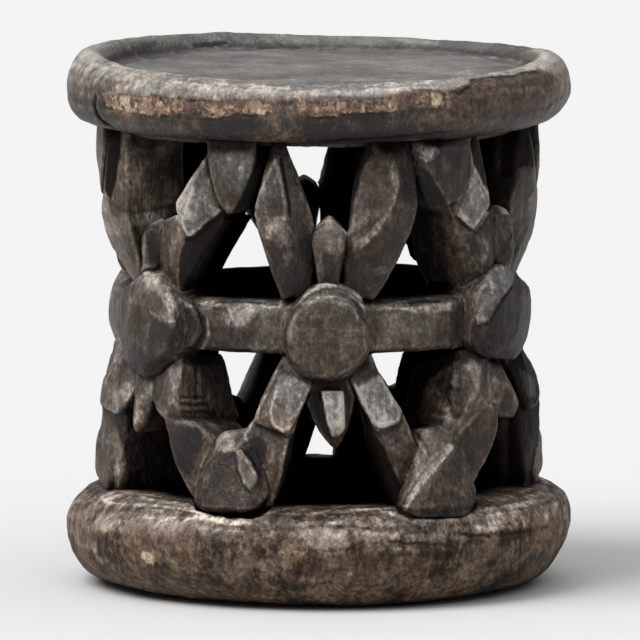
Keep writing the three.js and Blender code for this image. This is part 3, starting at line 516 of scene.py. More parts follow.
for i in range(6):
    a, b, s, to = gap_to(i)
    mid = (s + to) / 2
    drop = (-5.5 if mid > 180 else -3) * (1 - math.cos(mid * RAD)) / 2
    top, bottom = HOOP_TOP + drop, HOOP_BOTTOM + drop
    sect = np.array([(HOOP_IN, bottom + 2), (HOOP_IN, top - 3), (HOOP_IN + 6, top), (HOOP_OUT - 10, top), (HOOP_OUT - 2, top - 3.5), (HOOP_OUT, top - 9), (HOOP_OUT, bottom + 4), (HOOP_OUT - 5, bottom)])
    nrm, off = [], []
    for q in range(len(sect)):
        p0, p1 = sect[q], sect[(q + 1) % len(sect)]
        t = (p1 - p0) / np.linalg.norm(p1 - p0)
        n = np.array([-t[1], t[0]])
        if n @ (p0 - sect.mean(0)) < 0:
            n = -n
        nrm.append(n)
        off.append(n @ p0)
    nrm, off = np.array(nrm, np.float32), np.array(off, np.float32)

    def band(p, nrm=nrm, off=off, a0=s + 6.0, a1=to - 6.0):
        rr = np.hypot(p[:, 0], p[:, 1])
        ang = (np.degrees(np.arctan2(p[:, 0], -p[:, 1])) - (a0 + a1) / 2 + 540) % 360 - 180
        half = (a1 - a0) / 2
        ends = (np.abs(ang) - half) * RAD * rr
        v = np.concatenate([np.stack([rr, p[:, 2]], -1) @ nrm.T - off - 0.3, ends[:, None]], 1)
        m = v.max(1)
        return m + 0.9 * np.log(np.exp((v - m[:, None]) / 0.9).sum(1))

    lobe = HOOP_LOBE.get(a)
    blocks = [made(radial(s, lobe, rin=130), 0.8, 3, 1.0, 77)] if lobe else []
    e = Element(f"hoop_{a}_to_{b}", blocks, fns=[band], join=1.0, scoop=(15, 0.55), along=outward(mid + 90))
    e.span = (s + 6.0, to - 6.0, bottom, top)
    ELEMENTS.append(e)
    dr_p, dr_k, sh_p, sh_k = PROUD.get(f"{a}_to_{b}", [0, 0, 2, 0])
    seed += 1
    kf = KNEE_FACETS.get(f"{a}_to_{b}")
    pend = PENDANT_PLATES.get(f"{a}_to_{b}") or radial(mid + sh_p, [(x, z, r + dr_p) for x, z, r in PENDANT], rin=112)
    ELEMENTS.append(Element(f"pendant_{a}_to_{b}", [made(pend, 0.6, 5, 1.5, seed * 5, outward(mid))], scoop=(12, 0.6)))
    knee = radial(mid + sh_k, [(x, z, r + dr_k - (3 if kf is not None else 0)) for x, z, r in KNEE], rin=112, ridge=None if kf is not None else [(x, z, r + dr_k) for x, z, r in KNEE_RIDGE]) + list(kf or [])
    blocks = [made(knee, 0.9, 8, 2.2, seed * 9, outward(mid))]
    foot = 62 if kf is not None else BASE_TOP - 2
    if a == "left":
        lug = facet((235, 451, 171.6), (239, 449, 171.6), (250, 462, 172), (257, 478, 172), (255, 485, 172), (250, 489, 172.2), (243, 482, 172.6), (238, 468, 172.4))
        blocks.append(made(lug + [q * 0.94 + np.array([0, 0, q[2] * 0.06]) for q in lug], 0.5))
    ELEMENTS.append(Element(f"knee_block_{a}_to_{b}", blocks, join=1.0, scoop=(13, 0.7)))
    ELEMENTS[-1].foot = foot

for name, corners, centre in (
    ("spider_left_upper_leg_right", ((186, 240, 162.5), (179, 301, 161.5), (231, 222, 146)), (170, 260, 135)),
    ("spider_right_upper_leg_left", ((459, 218, 163), (487, 300, 160), (420, 250, 143)), (500, 260, 135)),
):
    next(e for e in ELEMENTS if e.name == name).slice(corners, px(*centre))

# how much painted shade darkens an element's sides inside the drum
for name, inner_shade in (("spider_left_upper_leg_left", 0.0), ("spider_left_lower_leg_left", 0.35), ("spider_left_lower_leg_right", 0.3), ("spider_right_lower_leg_left", 0.3), ("spider_right_upper_leg_left", 0.5)):
    next(e for e in ELEMENTS if e.name == name).inner_shade = inner_shade
for e in ELEMENTS:
    if e.name.startswith("hoop") or e.name.endswith("body"):
        e.soft = 6.0
next(e for e in ELEMENTS if e.name == "spider_left_head").soft = 12

# a solid's box, from its corners
for e in ELEMENTS:
    pts = [b["pts"] for b in e.blocks]
    if hasattr(e, "span"):
        a0, a1, zb, zt = e.span
        pts.append(np.concatenate([at(np.linspace(a0, a1, 24), r, z) for r in (HOOP_IN, HOOP_OUT) for z in (zb, zt)]))
    P = np.concatenate(pts)
    e.lo, e.hi = P.min(0) - 3.5, P.max(0) + 3.5


def touching(e, reach=6.0):
    return [o for o in ELEMENTS if o is not e and (o.lo - reach < e.hi).all() and (e.lo < o.hi + reach).all()]


def nearest_other(e, p, others, reach=8.0):
    """Distance to the nearest other element, the seat or the foot disc."""
    d = np.minimum(SEAT_UNDER - p[:, 2], p[:, 2] - BASE_TOP)
    rr = np.hypot(p[:, 0], p[:, 1])
    d = np.where(rr < 188, d, np.maximum(d, rr - 188))
    d = np.clip(d, -30, 30)
    for o in others:
        m = ((p > o.lo - reach) & (p < o.hi + reach)).all(1)
        if m.any():
            v = o.raw(p[m])
            d[m] = np.minimum(d[m], v)
    return d

# ------------------------------------------------------------------- meshing
def sample(D, lo, h, p):
    """Trilinear value and gradient of a grid."""
    q = (p - lo) / h
    n = np.array(D.shape)
    q = np.clip(q, 0, n - 1.001)
    i = np.floor(q).astype(int)
    f = q - i
    x, y, z = i.T
    fx, fy, fz = f.T
    c = [[[D[x + a, y + b, z + c_] for c_ in (0, 1)] for b in (0, 1)] for a in (0, 1)]
    lerp = lambda a, b, t: a + (b - a) * t
    v = lerp(lerp(lerp(c[0][0][0], c[1][0][0], fx), lerp(c[0][1][0], c[1][1][0], fx), fy), lerp(lerp(c[0][0][1], c[1][0][1], fx), lerp(c[0][1][1], c[1][1][1], fx), fy), fz)
    gx = lerp(lerp(c[1][0][0] - c[0][0][0], c[1][1][0] - c[0][1][0], fy), lerp(c[1][0][1] - c[0][0][1], c[1][1][1] - c[0][1][1], fy), fz)
    gy = lerp(lerp(c[0][1][0] - c[0][0][0], c[1][1][0] - c[1][0][0], fx), lerp(c[0][1][1] - c[0][0][1], c[1][1][1] - c[1][0][1], fx), fz)
    gz = lerp(lerp(c[0][0][1] - c[0][0][0], c[1][0][1] - c[1][0][0], fx), lerp(c[0][1][1] - c[0][1][0], c[1][1][1] - c[1][1][0], fx), fy)
    return v, np.stack([gx, gy, gz], -1) / h


def surface(D, lo, h):
    g = vdb.FloatGrid(float(3 * h))
    g.copyFromArray(np.ascontiguousarray(np.clip(D, -3 * h, 3 * h), dtype=np.float32))
    g.gridClass = vdb.GridClass.LEVEL_SET
    pts, quads = g.convertToQuads(isovalue=0.0)
    pts = np.asarray(pts, float) * h + lo
    return pts, np.asarray(quads, int)


def edges_of(faces):
    e = np.concatenate([np.stack([faces[:, i], faces[:, (i + 1) % faces.shape[1]]], 1) for i in range(faces.shape[1])])
    e.sort(1)
    return np.unique(e, axis=0)


def relax(values, edges, count, rounds):
    v = values.astype(float)
    deg = np.bincount(edges.ravel(), minlength=count).astype(float)
    deg[deg == 0] = 1
    for _ in range(rounds):
        s = np.zeros_like(v)
        for c in range(v.shape[1]):
            s[:, c] = np.bincount(edges[:, 0], v[edges[:, 1], c], count) + np.bincount(edges[:, 1], v[edges[:, 0], c], count)
        v = 0.4 * v + 0.6 * s / deg[:, None]
    return v


def normals_of(pts, faces):
    n = np.zeros_like(pts)
    if faces.shape[1] == 4:
        fn = np.cross(pts[faces[:, 2]] - pts[faces[:, 0]], pts[faces[:, 3]] - pts[faces[:, 1]])
    else:
        fn = np.cross(pts[faces[:, 1]] - pts[faces[:, 0]], pts[faces[:, 2]] - pts[faces[:, 0]])
    for c in range(3):
        for k in range(faces.shape[1]):
            n[:, c] += np.bincount(faces[:, k], fn[:, c], len(pts))
    return n / np.maximum(np.linalg.norm(n, axis=1), 1e-9)[:, None]


def curvature(pts, faces, edges, rounds, nrm=None):
    """How far a point stands out of its smoothed surroundings, in mm: ridges are positive."""
    nrm = normals_of(pts, faces) if nrm is None else nrm
    return ((pts - relax(pts, edges, len(pts), rounds)) * nrm).sum(1)


def closed(pts, faces):
    """Faces turned outwards."""
    a, b, c = pts[faces[:, 0]], pts[faces[:, 1]], pts[faces[:, 2]]
    vol = np.einsum("ij,ij->i", a, np.cross(b, c)).sum()
    if faces.shape[1] == 4:
        vol += np.einsum("ij,ij->i", a, np.cross(c, pts[faces[:, 3]])).sum()
    return faces if vol > 0 else faces[:, ::-1]


def piece(name, pts, faces, attrs, material, nodes, loose=()):
    me = bpy.data.meshes.new(name)
    me.vertices.add(len(pts))
    me.vertices.foreach_set("co", (np.asarray(pts, np.float32) * 0.001).ravel())
    lists = [np.asarray(faces)] + [np.asarray(q) for q in loose if len(q)]
    total = sum(q.size for q in lists)
    me.loops.add(total)
    me.loops.foreach_set("vertex_index", np.concatenate([q.ravel() for q in lists]).astype(np.int32))
    me.polygons.add(sum(len(q) for q in lists))
    starts = np.concatenate([[0], np.cumsum(np.concatenate([np.full(len(q), q.shape[1]) for q in lists]))[:-1]])
    me.polygons.foreach_set("loop_start", starts.astype(np.int32))
    me.update(calc_edges=True)
    me.validate()
    me.polygons.foreach_set("use_smooth", np.ones(len(me.polygons), bool))
    for k, v in attrs.items():
        a = me.attributes.new(k, "FLOAT", "POINT")
        a.data.foreach_set("value", np.asarray(v, np.float32))
    me.materials.append(material)
    ob = bpy.data.objects.new(name, me)
    bpy.context.scene.collection.objects.link(ob)
    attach(ob, "root")
    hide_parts(*nodes)
    return ob


def carve(e, h):
    """The element's surface with worn ridges, soft creases to its neighbours, adze marks and pits."""
    others = touching(e)
    lo, hi = e.lo, e.hi
    lo = np.maximum(lo, [-200, -200, e.foot - 3])
    hi = np.minimum(hi, [200, 200, SEAT_UNDER + 5])
    n = np.ceil((hi - lo) / h).astype(int) + 1
    ax = [lo[i] + h * np.arange(n[i]) for i in range(3)]
    G = np.stack(np.meshgrid(*ax, indexing="ij"), -1).reshape(-1, 3)
    W = warp(G).astype(np.float32)
    D = e.raw(W)
    # the piece ends a little inside the seat and the foot disc
    D = np.maximum(D, np.maximum(W[:, 2] - (SEAT_UNDER + 2.0), e.foot - W[:, 2]))
    m = np.abs(D) < 9
    O = nearest_other(e, W[m], others)
    k = e.soft
    hh = np.clip(1 - np.abs(D[m] - O) / k, 0, 1)
    D[m] -= hh * hh * k * 0.25
    # the surface is closed where the grid ends
    D = D.reshape(n)
    edge = np.ones(D.shape, bool)
    edge[1:-1, 1:-1, 1:-1] = False
    D[edge] = np.maximum(D[edge], 0.5 * h)
    pts, quads = surface(D, lo, h)
    for _ in range(2):
        v, g = sample(D, lo, h, pts)
        pts = pts - np.clip(v / np.maximum((g * g).sum(1), 0.2), -h, h)[:, None] * g
    quads = closed(pts, quads)
    edges = edges_of(quads)
    nrm = normals_of(pts, quads)
    size, amp = e.scoop
    t1 = e.along
    t2 = np.cross(t1, [0.3, 0.2, 0.93])
    t2 /= np.linalg.norm(t2)
    t3 = np.cross(t1, t2)
    q = np.stack([pts @ t1 / (size * 1.9), pts @ t2 / size, pts @ t3 / size], -1) + fbm(pts, 30, 2, 3)[:, None] * 0.35
    f1, f2, kind = cells(q + 40)
    q2 = q * 2.1 + 11
    g1, g2, kind2 = cells(q2)
    disp = 0.62 * amp * (np.minimum(f1 * f1, 0.9) * 1.7 - 0.55) + amp * 0.34 * (np.minimum(g1 * g1, 0.9) * 1.6 - 0.5)
    disp += 0.30 * fbm(pts, 21, 2, 1) + 0.17 * fbm(pts, 5.5, 3, 2, 0.7)
    ridge = curvature(pts, quads, edges, 4, nrm)
    # ridges are chipped here and there
    nick = ramp(noise(pts, 7.5, 5), 0.25, 0.75) * ramp(ridge, 0.10, 0.35)
    disp -= 0.8 * nick
    disp -= 0.22 * ramp(noise(q * 9, 3.4, 4), 0.55, 0.85)
    pts = pts + nrm * disp[:, None]
    nrm = normals_of(pts, quads)
    fine = curvature(pts, quads, edges, 3, nrm)
    broad = curvature(pts, quads, edges, 14, nrm)
    # how closed in each place is: painted shade in recesses, used like ambient occlusion in the shader
    wp = warp(pts).astype(np.float32)
    occ = 0
    for step, wgt in ((4.0, 0.34), (10.0, 0.33), (22.0, 0.33)):
        q = wp + nrm.astype(np.float32) * np.float32(step)
        d = np.minimum(nearest_other(e, q, others, step + 6), e.raw(q))
        occ = occ + wgt * np.clip(1 - d / step, 0, 1.3)
    # painted shade along the creases to the neighbouring elements
    crease = np.exp(-np.clip(nearest_other(e, wp, others), 0, 30) / 3.0)
    rr = np.hypot(pts[:, 0], pts[:, 1])
    out = (nrm[:, 0] * pts[:, 0] + nrm[:, 1] * pts[:, 1]) / np.maximum(rr, 1)
    # painted shade: the far side and the hollow middle of the drum are painted near black
    inner = np.clip(ramp(156 - rr, 0, 30) * ramp(0.72 - out, 0, 0.6), 0, 1) * e.inner_shade
    tone = relax(e.tones(wp)[:, None], edges, len(pts), 3)[:, 0]
    # painted light and shade from above: faces looking up a little lighter, faces looking down darker
    up = np.clip(nrm[:, 2], 0, 1)
    under = np.clip(-nrm[:, 2], 0, 1)
    attrs = {"edge": np.clip(fine * 2.6 + broad * 0.85, 0, 1), "pit": np.clip(-fine * 2.4 - broad * 0.55, 0, 1), "closed": np.clip(occ, 0, 1), "crease": crease * (0.35 + 0.65 * ramp(noise(pts, 15, 3), -0.4, 0.5)), "inner": inner, "tone": tone, "up": up, "under": under, "cool": 0.45 * up}
    return pts, quads, attrs

# ------------------------------------------------------- marks
# (channel, strength, softness in picture pixels, points, closed), where the view
# from the front shows them: facets, chips, worn edges, stains, and relief in mm:
# a dent is level inside its border, a fold rises to its line from both sides,
# grit is a rough patch. A tone inside a border replaces the tones before it.
# The tones paint mostly the light and shade of each facet, and very dark tones
# are painted shadow in undercuts, recesses and the dark inside of the drum;
# light lines are painted highlights along ridges, dark lines painted shadow in
# cuts and cracks; grey adds to the grey of dust and painted sheen.
MARKS = {
    "seat": [
        ("tone", -0.8, 2.5, [(66, 108), (110, 116), (150, 117), (240, 119), (330, 117), (400, 111), (446, 108), (480, 108), (520, 104), (575, 92), (572, 118), (520, 132), (400, 143), (240, 143), (110, 132)], True),
        ("tone", 0.25, 2.0, [(128, 84), (150, 85), (240, 88), (330, 88), (330, 96), (300, 97), (240, 99), (190, 97), (150, 95), (126, 92)], True),
        ("tone", 0.35, 1.8, [(290, 89), (330, 89), (387, 86), (443, 80), (444, 88), (420, 92), (387, 95), (330, 98), (292, 98)], True),
        ("tone", 0.5, 1.4, [(385, 83), (396, 82), (408, 86), (400, 90), (388, 88)], True),
        ("tone", -0.35, 1.6, [(88, 70), (112, 74), (116, 82), (114, 92), (88, 95)], True),
        ("tone", -0.75, 3.0, [(98, 62), (112, 54), (138, 45), (158, 41), (156, 47), (134, 55), (112, 63), (102, 66)], True),
        ("tone", -1.35, 3.0, [(455, 90), (470, 83), (472, 79), (499, 77), (526, 72), (545, 71), (562, 78), (566, 96), (545, 110), (510, 118), (470, 120), (448, 116), (446, 104)], True),
        ("rust", 0.8, 3.0, [(452, 92), (470, 84), (472, 79), (499, 77), (526, 72), (545, 71), (560, 80), (562, 96), (545, 108), (510, 114), (470, 118), (448, 112)], True),
        ("red", 0.6, 3.0, [(452, 92), (470, 84), (472, 79), (499, 77), (526, 72), (545, 71), (560, 80), (562, 96), (545, 108), (510, 114), (470, 118), (448, 112)], True),
        ("line", -1.3, 0.8, [(443, 93), (452, 91), (460, 93), (470, 85), (472, 79), (486, 77), (499, 77), (512, 75), (526, 72), (542, 70)], False),
        ("dent", -0.7, 1.2, [(443, 94), (452, 92), (470, 86), (473, 80), (499, 78), (526, 73), (545, 72), (562, 80), (562, 100), (545, 112), (500, 118), (448, 116)], True),
        ("rust", 0.5, 6.0, [(446, 106), (500, 112), (545, 106), (550, 114), (510, 126), (460, 131), (436, 130)], True),
        ("line", 1.6, 1.4, [(479, 96), (490, 92), (502, 90), (520, 90), (540, 88), (545, 93)], False),
        ("pink", 0.55, 1.6, [(466, 92), (480, 91), (494, 94), (486, 97)], True),
        ("dent", -2.0, 0.9, [(95, 96), (93.5, 104), (97, 113), (103, 121.5), (113, 128), (127, 133)], False),
        ("line", -2.6, 0.9, [(95, 96), (93.5, 104), (97, 113), (103, 121.5), (113, 128), (127, 133)], False),
        ("tone", -0.5, 2.2, [(96, 118), (106, 126), (128, 132), (122, 134), (104, 130), (94, 122)], True),
        ("dent", -0.9, 1.6, [(194, 45.5), (203, 44.8), (212, 45.2), (226, 42.5)], False),
        ("line", -1.6, 1.1, [(195, 46), (203, 45.3), (212, 45.6), (227, 43)], False),
        ("tone", 0.55, 1.4, [(206, 38), (218, 37), (226, 40), (212, 42)], True),
        ("tone", 0.4, 2.5, [(246, 40), (276, 36), (316, 37), (316, 44), (280, 45), (248, 47)], True),
        ("line", -0.9, 0.9, [(258, 48), (276, 47.5), (300, 47.5)], False),
        ("line", -0.5, 0.9, [(330, 53), (350, 53), (372, 52)], False),
        ("band", 0.92, 2.2, [(102, 97), (119, 94), (150, 98), (200, 101), (240, 101), (277, 100), (280, 107), (262, 115), (238, 114), (214, 119), (190, 114), (160, 117), (130, 112), (106, 107)], True),
        ("band", 0.92, 2.2, [(297, 99), (330, 98), (360, 100), (392, 99), (396, 108), (389, 110), (345, 114), (316, 117), (299, 113)], True),
        ("band", 0.68, 2.6, [(392, 95), (418, 91), (443, 91), (446, 105), (430, 109), (400, 107), (392, 108)], True),
        ("rust", 0.8, 3.0, [(392, 94), (418, 91), (443, 91), (448, 105), (430, 109), (400, 108), (390, 109)], True),
        ("band", 0.52, 3.0, [(446, 93), (465, 92), (480, 98), (500, 97), (500, 106), (470, 110), (447, 108)], True),
        ("band", 0.42, 3.0, [(500, 82), (524, 77), (546, 79), (548, 92), (524, 97), (500, 98)], True),
        ("dent", -0.7, 1.2, [(102, 97), (119, 94), (150, 98), (200, 101), (277, 101), (300, 101), (389, 101), (418, 92), (446, 92), (446, 107), (400, 108), (345, 114), (262, 116), (214, 119), (160, 117), (106, 108)], True),
        ("grit", 0.55, 3.0, [(102, 97), (150, 98), (277, 101), (389, 101), (446, 92), (446, 107), (345, 114), (214, 119), (106, 108)], True),
        ("line", -1.1, 1.0, [(132, 113), (150, 117), (180, 117), (206, 120), (222, 118), (246, 116), (270, 115), (300, 116), (318, 118), (345, 115), (389, 112), (418, 110), (446, 108)], False),
        ("line", -0.9, 0.8, [(150, 96), (176, 98), (190, 101), (206, 100), (216, 103), (240, 100), (262, 103), (282, 104), (300, 98), (330, 97), (396, 99), (400, 93), (418, 90), (443, 92)], False),
        ("pale", 0.95, 1.4, [(121, 97), (128, 96), (130, 108), (126, 110), (121, 104)], True),
        ("pale", 0.6, 1.3, [(117, 99), (120, 97), (121, 104), (118, 104)], True),
        ("pale", 0.62, 1.5, [(418, 96), (429, 94), (430, 107), (420, 107)], True),
        ("pale", 0.88, 1.5, [(431, 94), (441, 93), (443, 104), (432, 107)], True),
        ("line", -1.2, 0.8, [(430, 93), (430.5, 108)], False),
        ("pale", 0.85, 1.3, [(336, 101), (341, 100), (341, 112), (337, 111)], True),
        ("pale", 0.62, 1.6, [(221, 107), (232, 106), (240, 112), (228, 114)], True),
        ("pale", 0.68, 1.6, [(248, 109), (262, 108), (275, 110), (262, 115), (250, 114)], True),
        ("pale", 0.55, 1.6, [(153, 100), (163, 99), (165, 108), (156, 108)], True),
        ("pale", 0.5, 1.6, [(312, 103), (326, 101), (326, 112), (315, 114)], True),
        ("pale", 0.5, 1.6, [(376, 102), (392, 101), (392, 108), (378, 108)], True),
        ("red", 1.0, 1.6, [(182, 101), (194, 102), (196, 112), (186, 114)], True),
        ("red", 0.95, 1.6, [(204, 100), (214, 101), (214, 106), (204, 105)], True),
        ("red", 1.0, 1.8, [(300, 110), (330, 110), (344, 112), (316, 116), (300, 115)], True),
        ("red", 1.0, 1.6, [(394, 95), (414, 92), (416, 106), (400, 108)], True),
        ("red", 1.0, 1.6, [(214, 100), (246, 101), (246, 106), (218, 106)], True),
        ("red", 0.95, 1.6, [(268, 101), (290, 102), (290, 112), (272, 110)], True),
        ("red", 0.7, 1.6, [(346, 102), (360, 101), (362, 112), (346, 112)], True),
        ("pink", 0.85, 2.6, [(443, 82), (449, 75), (462, 69), (474, 68), (494, 72), (488, 77), (470, 80), (466, 86), (446, 88)], True),
        ("pale", 0.55, 1.6, [(448, 80), (458, 73), (468, 70)], False),
        ("pink", 0.8, 2.6, [(113, 68), (128, 69), (150, 71), (168, 75), (163, 80), (136, 82), (118, 77)], True),
        ("pale", 0.6, 2.0, [(134, 72), (146, 70), (152, 74), (144, 79), (136, 78)], True),
        ("pale", 0.85, 1.6, [(213, 83), (220, 82.5), (226, 84), (218, 87)], True),
        ("line", 0.9, 1.2, [(172, 82), (190, 84), (206, 84)], False),
        ("line", 0.8, 1.2, [(226, 84), (250, 86), (290, 88)], False),
        ("tone", 0.5, 1.6, [(168, 93), (174, 90), (178, 97), (170, 110), (166, 104)], True),
        ("pale", 0.6, 1.8, [(77, 93), (82, 92), (83, 101), (79, 102)], True),
        ("line", 0.6, 1.4, [(81, 106), (86, 112)], False),
        ("tone", 0.6, 1.5, [(391, 39), (412, 38), (440, 41), (438, 45), (410, 43)], True),
        ("tone", -0.35, 2.0, [(386, 42), (440, 46), (500, 50), (540, 54), (536, 62), (490, 56), (440, 50), (390, 47)], True),
        ("line", 0.7, 1.2, [(490, 57), (506, 58), (523, 63)], False),
        ("tone", 0.5, 1.5, [(541, 52), (547, 53), (545, 58), (541, 57)], True),
        ("tone", -0.25, 3.0, [(545, 50), (560, 58), (573, 84), (568, 108), (552, 112), (556, 80)], True),
        ("line", -1.4, 1.0, [(312, 143), (345, 140), (400, 136), (460, 131)], False),
        ("pink", 0.35, 3.0, [(240, 90), (300, 92), (330, 92)], False),
    ],
    "base": [
        ("tone", 0.95, 3.0, [(100, 497), (112, 492), (140, 490), (172, 492), (178, 499), (150, 506), (104, 505)], True),
        ("line", 1.4, 1.8, [(165, 507), (185, 510), (200, 512), (206, 517)], False),
        ("line", -0.8, 1.2, [(120, 510), (150, 508), (176, 509), (196, 515)], False),
        ("line", 1.6, 1.6, [(196, 517), (214, 520), (232, 523), (246, 523), (268, 523)], False),
        ("line", 1.0, 1.2, [(204, 523), (222, 524), (240, 525)], False),
        ("line", -1.0, 1.6, [(205, 526), (224, 528), (244, 528), (260, 528)], False),
        # painted shadow on the foot disc under the left knee block
        ("tone", -3.2, 1.2, [(193, 499), (274, 499), (274, 506), (264, 514), (250, 518), (236, 518.5), (214, 515.5), (196, 509)], True),
        ("dent", -1.6, 1.6, [(195, 502), (214, 511), (240, 513), (262, 509), (272, 502), (272, 506), (266, 513), (250, 518), (214, 515), (196, 509)], True),
        ("tone", 0.5, 2.0, [(242, 524), (262, 521), (264, 528), (248, 531)], True),
        ("tone", 0.6, 5.0, [(88, 514), (120, 508), (160, 512), (200, 520), (240, 528), (240, 540), (190, 536), (140, 532), (100, 530)], True),
        ("pink", 0.8, 3.5, [(150, 524), (180, 521), (200, 524), (196, 532), (170, 535), (152, 533)], True),
        ("pink", 0.6, 3.5, [(86, 520), (104, 514), (112, 524), (104, 534), (90, 532)], True),
        ("tone", -0.75, 4.0, [(94, 536), (122, 534), (130, 552), (116, 562), (98, 556)], True),
        ("tone", -0.45, 4.0, [(176, 533), (220, 530), (250, 534), (252, 546), (210, 548), (180, 545)], True),
        ("pink", 0.8, 3.0, [(138, 544), (168, 544), (172, 552), (160, 566), (140, 560)], True),
        ("pale", 0.95, 2.4, [(140, 552), (148, 552), (155, 560), (156, 570), (150, 564), (141, 558)], True),
        ("line", -1.5, 1.2, [(155, 548), (156, 558), (158, 566)], False),
        ("line", 1.2, 1.4, [(116, 582), (124, 584), (133, 585)], False),
        ("pink", 0.55, 4.0, [(204, 560), (226, 562), (236, 572), (222, 576), (206, 570)], True),
        ("pink", 1.0, 4.0, [(298, 530), (322, 527), (350, 530), (348, 547), (312, 551)], True),
        ("line", 1.0, 2.0, [(302, 536), (320, 533), (340, 536)], False),
        ("pink", 0.75, 4.0, [(298, 532), (322, 528), (345, 531), (342, 545), (312, 549)], True),
        ("pink", 0.7, 3.0, [(350, 531), (392, 532), (396, 540), (362, 544)], True),
        ("pink", 0.85, 2.5, [(400, 533), (425, 532), (447, 534), (449, 543), (410, 541)], True),
        ("tone", 0.7, 2.0, [(356, 530), (400, 533), (447, 534), (447, 541), (400, 539), (356, 536)], True),
        ("line", -1.1, 1.0, [(386, 541), (410, 543), (440, 545), (449, 546)], False),
        ("line", 0.8, 1.2, [(394, 548), (402, 549)], False),
        ("line", -0.9, 1.0, [(310, 528), (350, 527), (378, 529)], False),
        ("tone", 1.0, 1.3, [(330, 521), (337, 521), (336, 527), (331, 526)], True),
        ("tone", 0.9, 1.3, [(375, 519), (383, 520), (381, 526), (376, 525)], True),
        ("line", 0.8, 1.3, [(312, 513), (345, 511), (378, 508), (382, 512)], False),
        ("line", -0.6, 1.2, [(318, 517), (350, 515), (388, 515)], False),
        ("line", 1.0, 1.3, [(390, 513), (402, 518), (430, 519), (455, 517), (468, 511)], False),
        # painted shadow on the foot disc under the right knee block
        ("tone", -3.6, 1.0, [(394, 500), (480, 500), (474, 511), (456, 517.5), (432, 519), (410, 518), (398, 513)], True),
        ("tone", -0.3, 3.0, [(312, 546), (350, 545), (378, 548), (374, 560), (340, 562), (314, 556)], True),
        ("red", 0.55, 4.0, [(300, 562), (326, 558), (346, 560), (354, 568), (348, 577), (330, 581), (312, 580), (298, 572)], True),
        ("line", 0.9, 1.2, [(298, 578), (316, 581), (334, 580)], False),
        ("pale", 0.6, 1.8, [(344, 574), (350, 571), (354, 575), (348, 580)], True),
        ("red", 0.35, 5.0, [(288, 556), (302, 556), (300, 580), (290, 590), (282, 574)], True),
        ("tone", 0.45, 5.0, [(470, 519), (500, 514), (528, 510), (549, 515), (546, 524), (516, 530), (490, 534), (472, 530)], True),
        ("pale", 0.6, 1.6, [(542, 512), (549, 516), (548, 520), (543, 518)], True),
        ("line", 0.7, 1.2, [(474, 527), (490, 529), (512, 526)], False),
        ("line", -0.9, 2.2, [(452, 533), (476, 536), (500, 534), (522, 531), (546, 527)], False),
        ("dent", -0.5, 2.0, [(452, 533), (476, 536), (500, 534), (522, 531), (546, 527)], False),
        ("line", -0.9, 1.0, [(449, 530), (450, 545)], False),
        ("tone", 0.4, 2.0, [(556, 500), (566, 508), (568, 520), (560, 516)], True),
        ("tone", 0.6, 1.5, [(528, 482), (545, 480), (556, 486), (545, 490), (530, 487)], True),
        ("tone", -0.5, 2.5, [(474, 492), (500, 489), (524, 486), (520, 494), (500, 502), (478, 508)], True),
        ("pale", 0.5, 1.4, [(519, 545), (523, 546), (522, 550), (519, 549)], True),
        ("pale", 0.55, 1.4, [(513, 555), (518, 554), (518, 560), (514, 560)], True),
        ("tone", -0.75, 6.0, [(470, 536), (556, 526), (568, 540), (530, 566), (470, 576), (440, 556)], True),
        ("rust", 0.75, 5.0, [(450, 548), (500, 544), (556, 532), (566, 545), (520, 572), (460, 580)], True),
        ("rust", 0.65, 6.0, [(190, 550), (250, 552), (290, 556), (290, 576), (220, 580), (180, 572)], True),
        ("rust", 0.60, 6.0, [(360, 556), (440, 556), (470, 564), (430, 584), (365, 586)], True),
        ("rust", 0.80, 4.0, [(72, 516), (84, 512), (88, 540), (90, 560), (78, 548)], True),
        ("tone", -0.6, 4.0, [(72, 540), (90, 560), (100, 574), (118, 584), (96, 580), (76, 558)], True),
        ("tone", -0.45, 5.0, [(300, 586), (420, 586), (520, 570), (560, 548), (560, 566), (500, 592), (400, 606), (300, 606)], True),
    ],
    "spider_front_body": [
        ("tone", 0.12, 2.0, [(286, 334), (300, 306), (330, 300), (358, 306), (371, 334), (366, 352), (350, 372), (328, 378), (306, 372), (290, 354)], True),
        ("tone", 1.45, 1.2, [(298, 302), (307, 290), (314, 285), (327, 280), (340, 280), (352, 286), (362, 296), (370, 311), (364, 309), (357, 302), (348, 299), (336, 297), (323, 297), (312, 299), (304, 306)], True),
        ("line", -1.5, 0.9, [(304, 301), (313, 293), (326, 288.5), (340, 288.5), (352, 294), (363, 304)], False),
        ("line", 0.9, 1.0, [(309, 303), (320, 298), (334, 296.5), (348, 299.5), (360, 307)], False),
        ("line", 0.8, 0.9, [(310, 294), (320, 284), (332, 281.5), (345, 284), (358, 292)], False),
        ("line", 0.45, 1.0, [(318, 304), (332, 302), (348, 305)], False),
        ("line", 0.4, 0.8, [(300, 318), (330, 316), (356, 319)], False),
        ("line", -0.4, 0.8, [(297, 323), (330, 322), (360, 324)], False),
        ("line", 0.4, 0.8, [(298, 330), (330, 328), (358, 331)], False),
        ("line", 0.35, 0.8, [(297, 341), (328, 340), (354, 342)], False),
        ("line", -0.4, 0.8, [(299, 346), (328, 345.5), (354, 347)], False),
        ("dent", -0.4, 1.2, [(304, 301), (313, 293), (326, 288.5), (340, 288.5), (352, 294), (363, 304)], False),
        ("tone", -0.9, 2.5, [(296, 366), (312, 377), (330, 380), (348, 377), (364, 362), (368, 366), (352, 384), (330, 388), (306, 384), (294, 374)], True),
        ("red", 1.0, 2.0, [(292, 366), (302, 364), (312, 373), (308, 380), (297, 377)], True),
        ("tone", -1.3, 1.5, [(308, 391), (320, 389), (323, 396), (326, 420), (332, 438), (340, 456), (331, 447), (316, 428), (310, 408)], True),
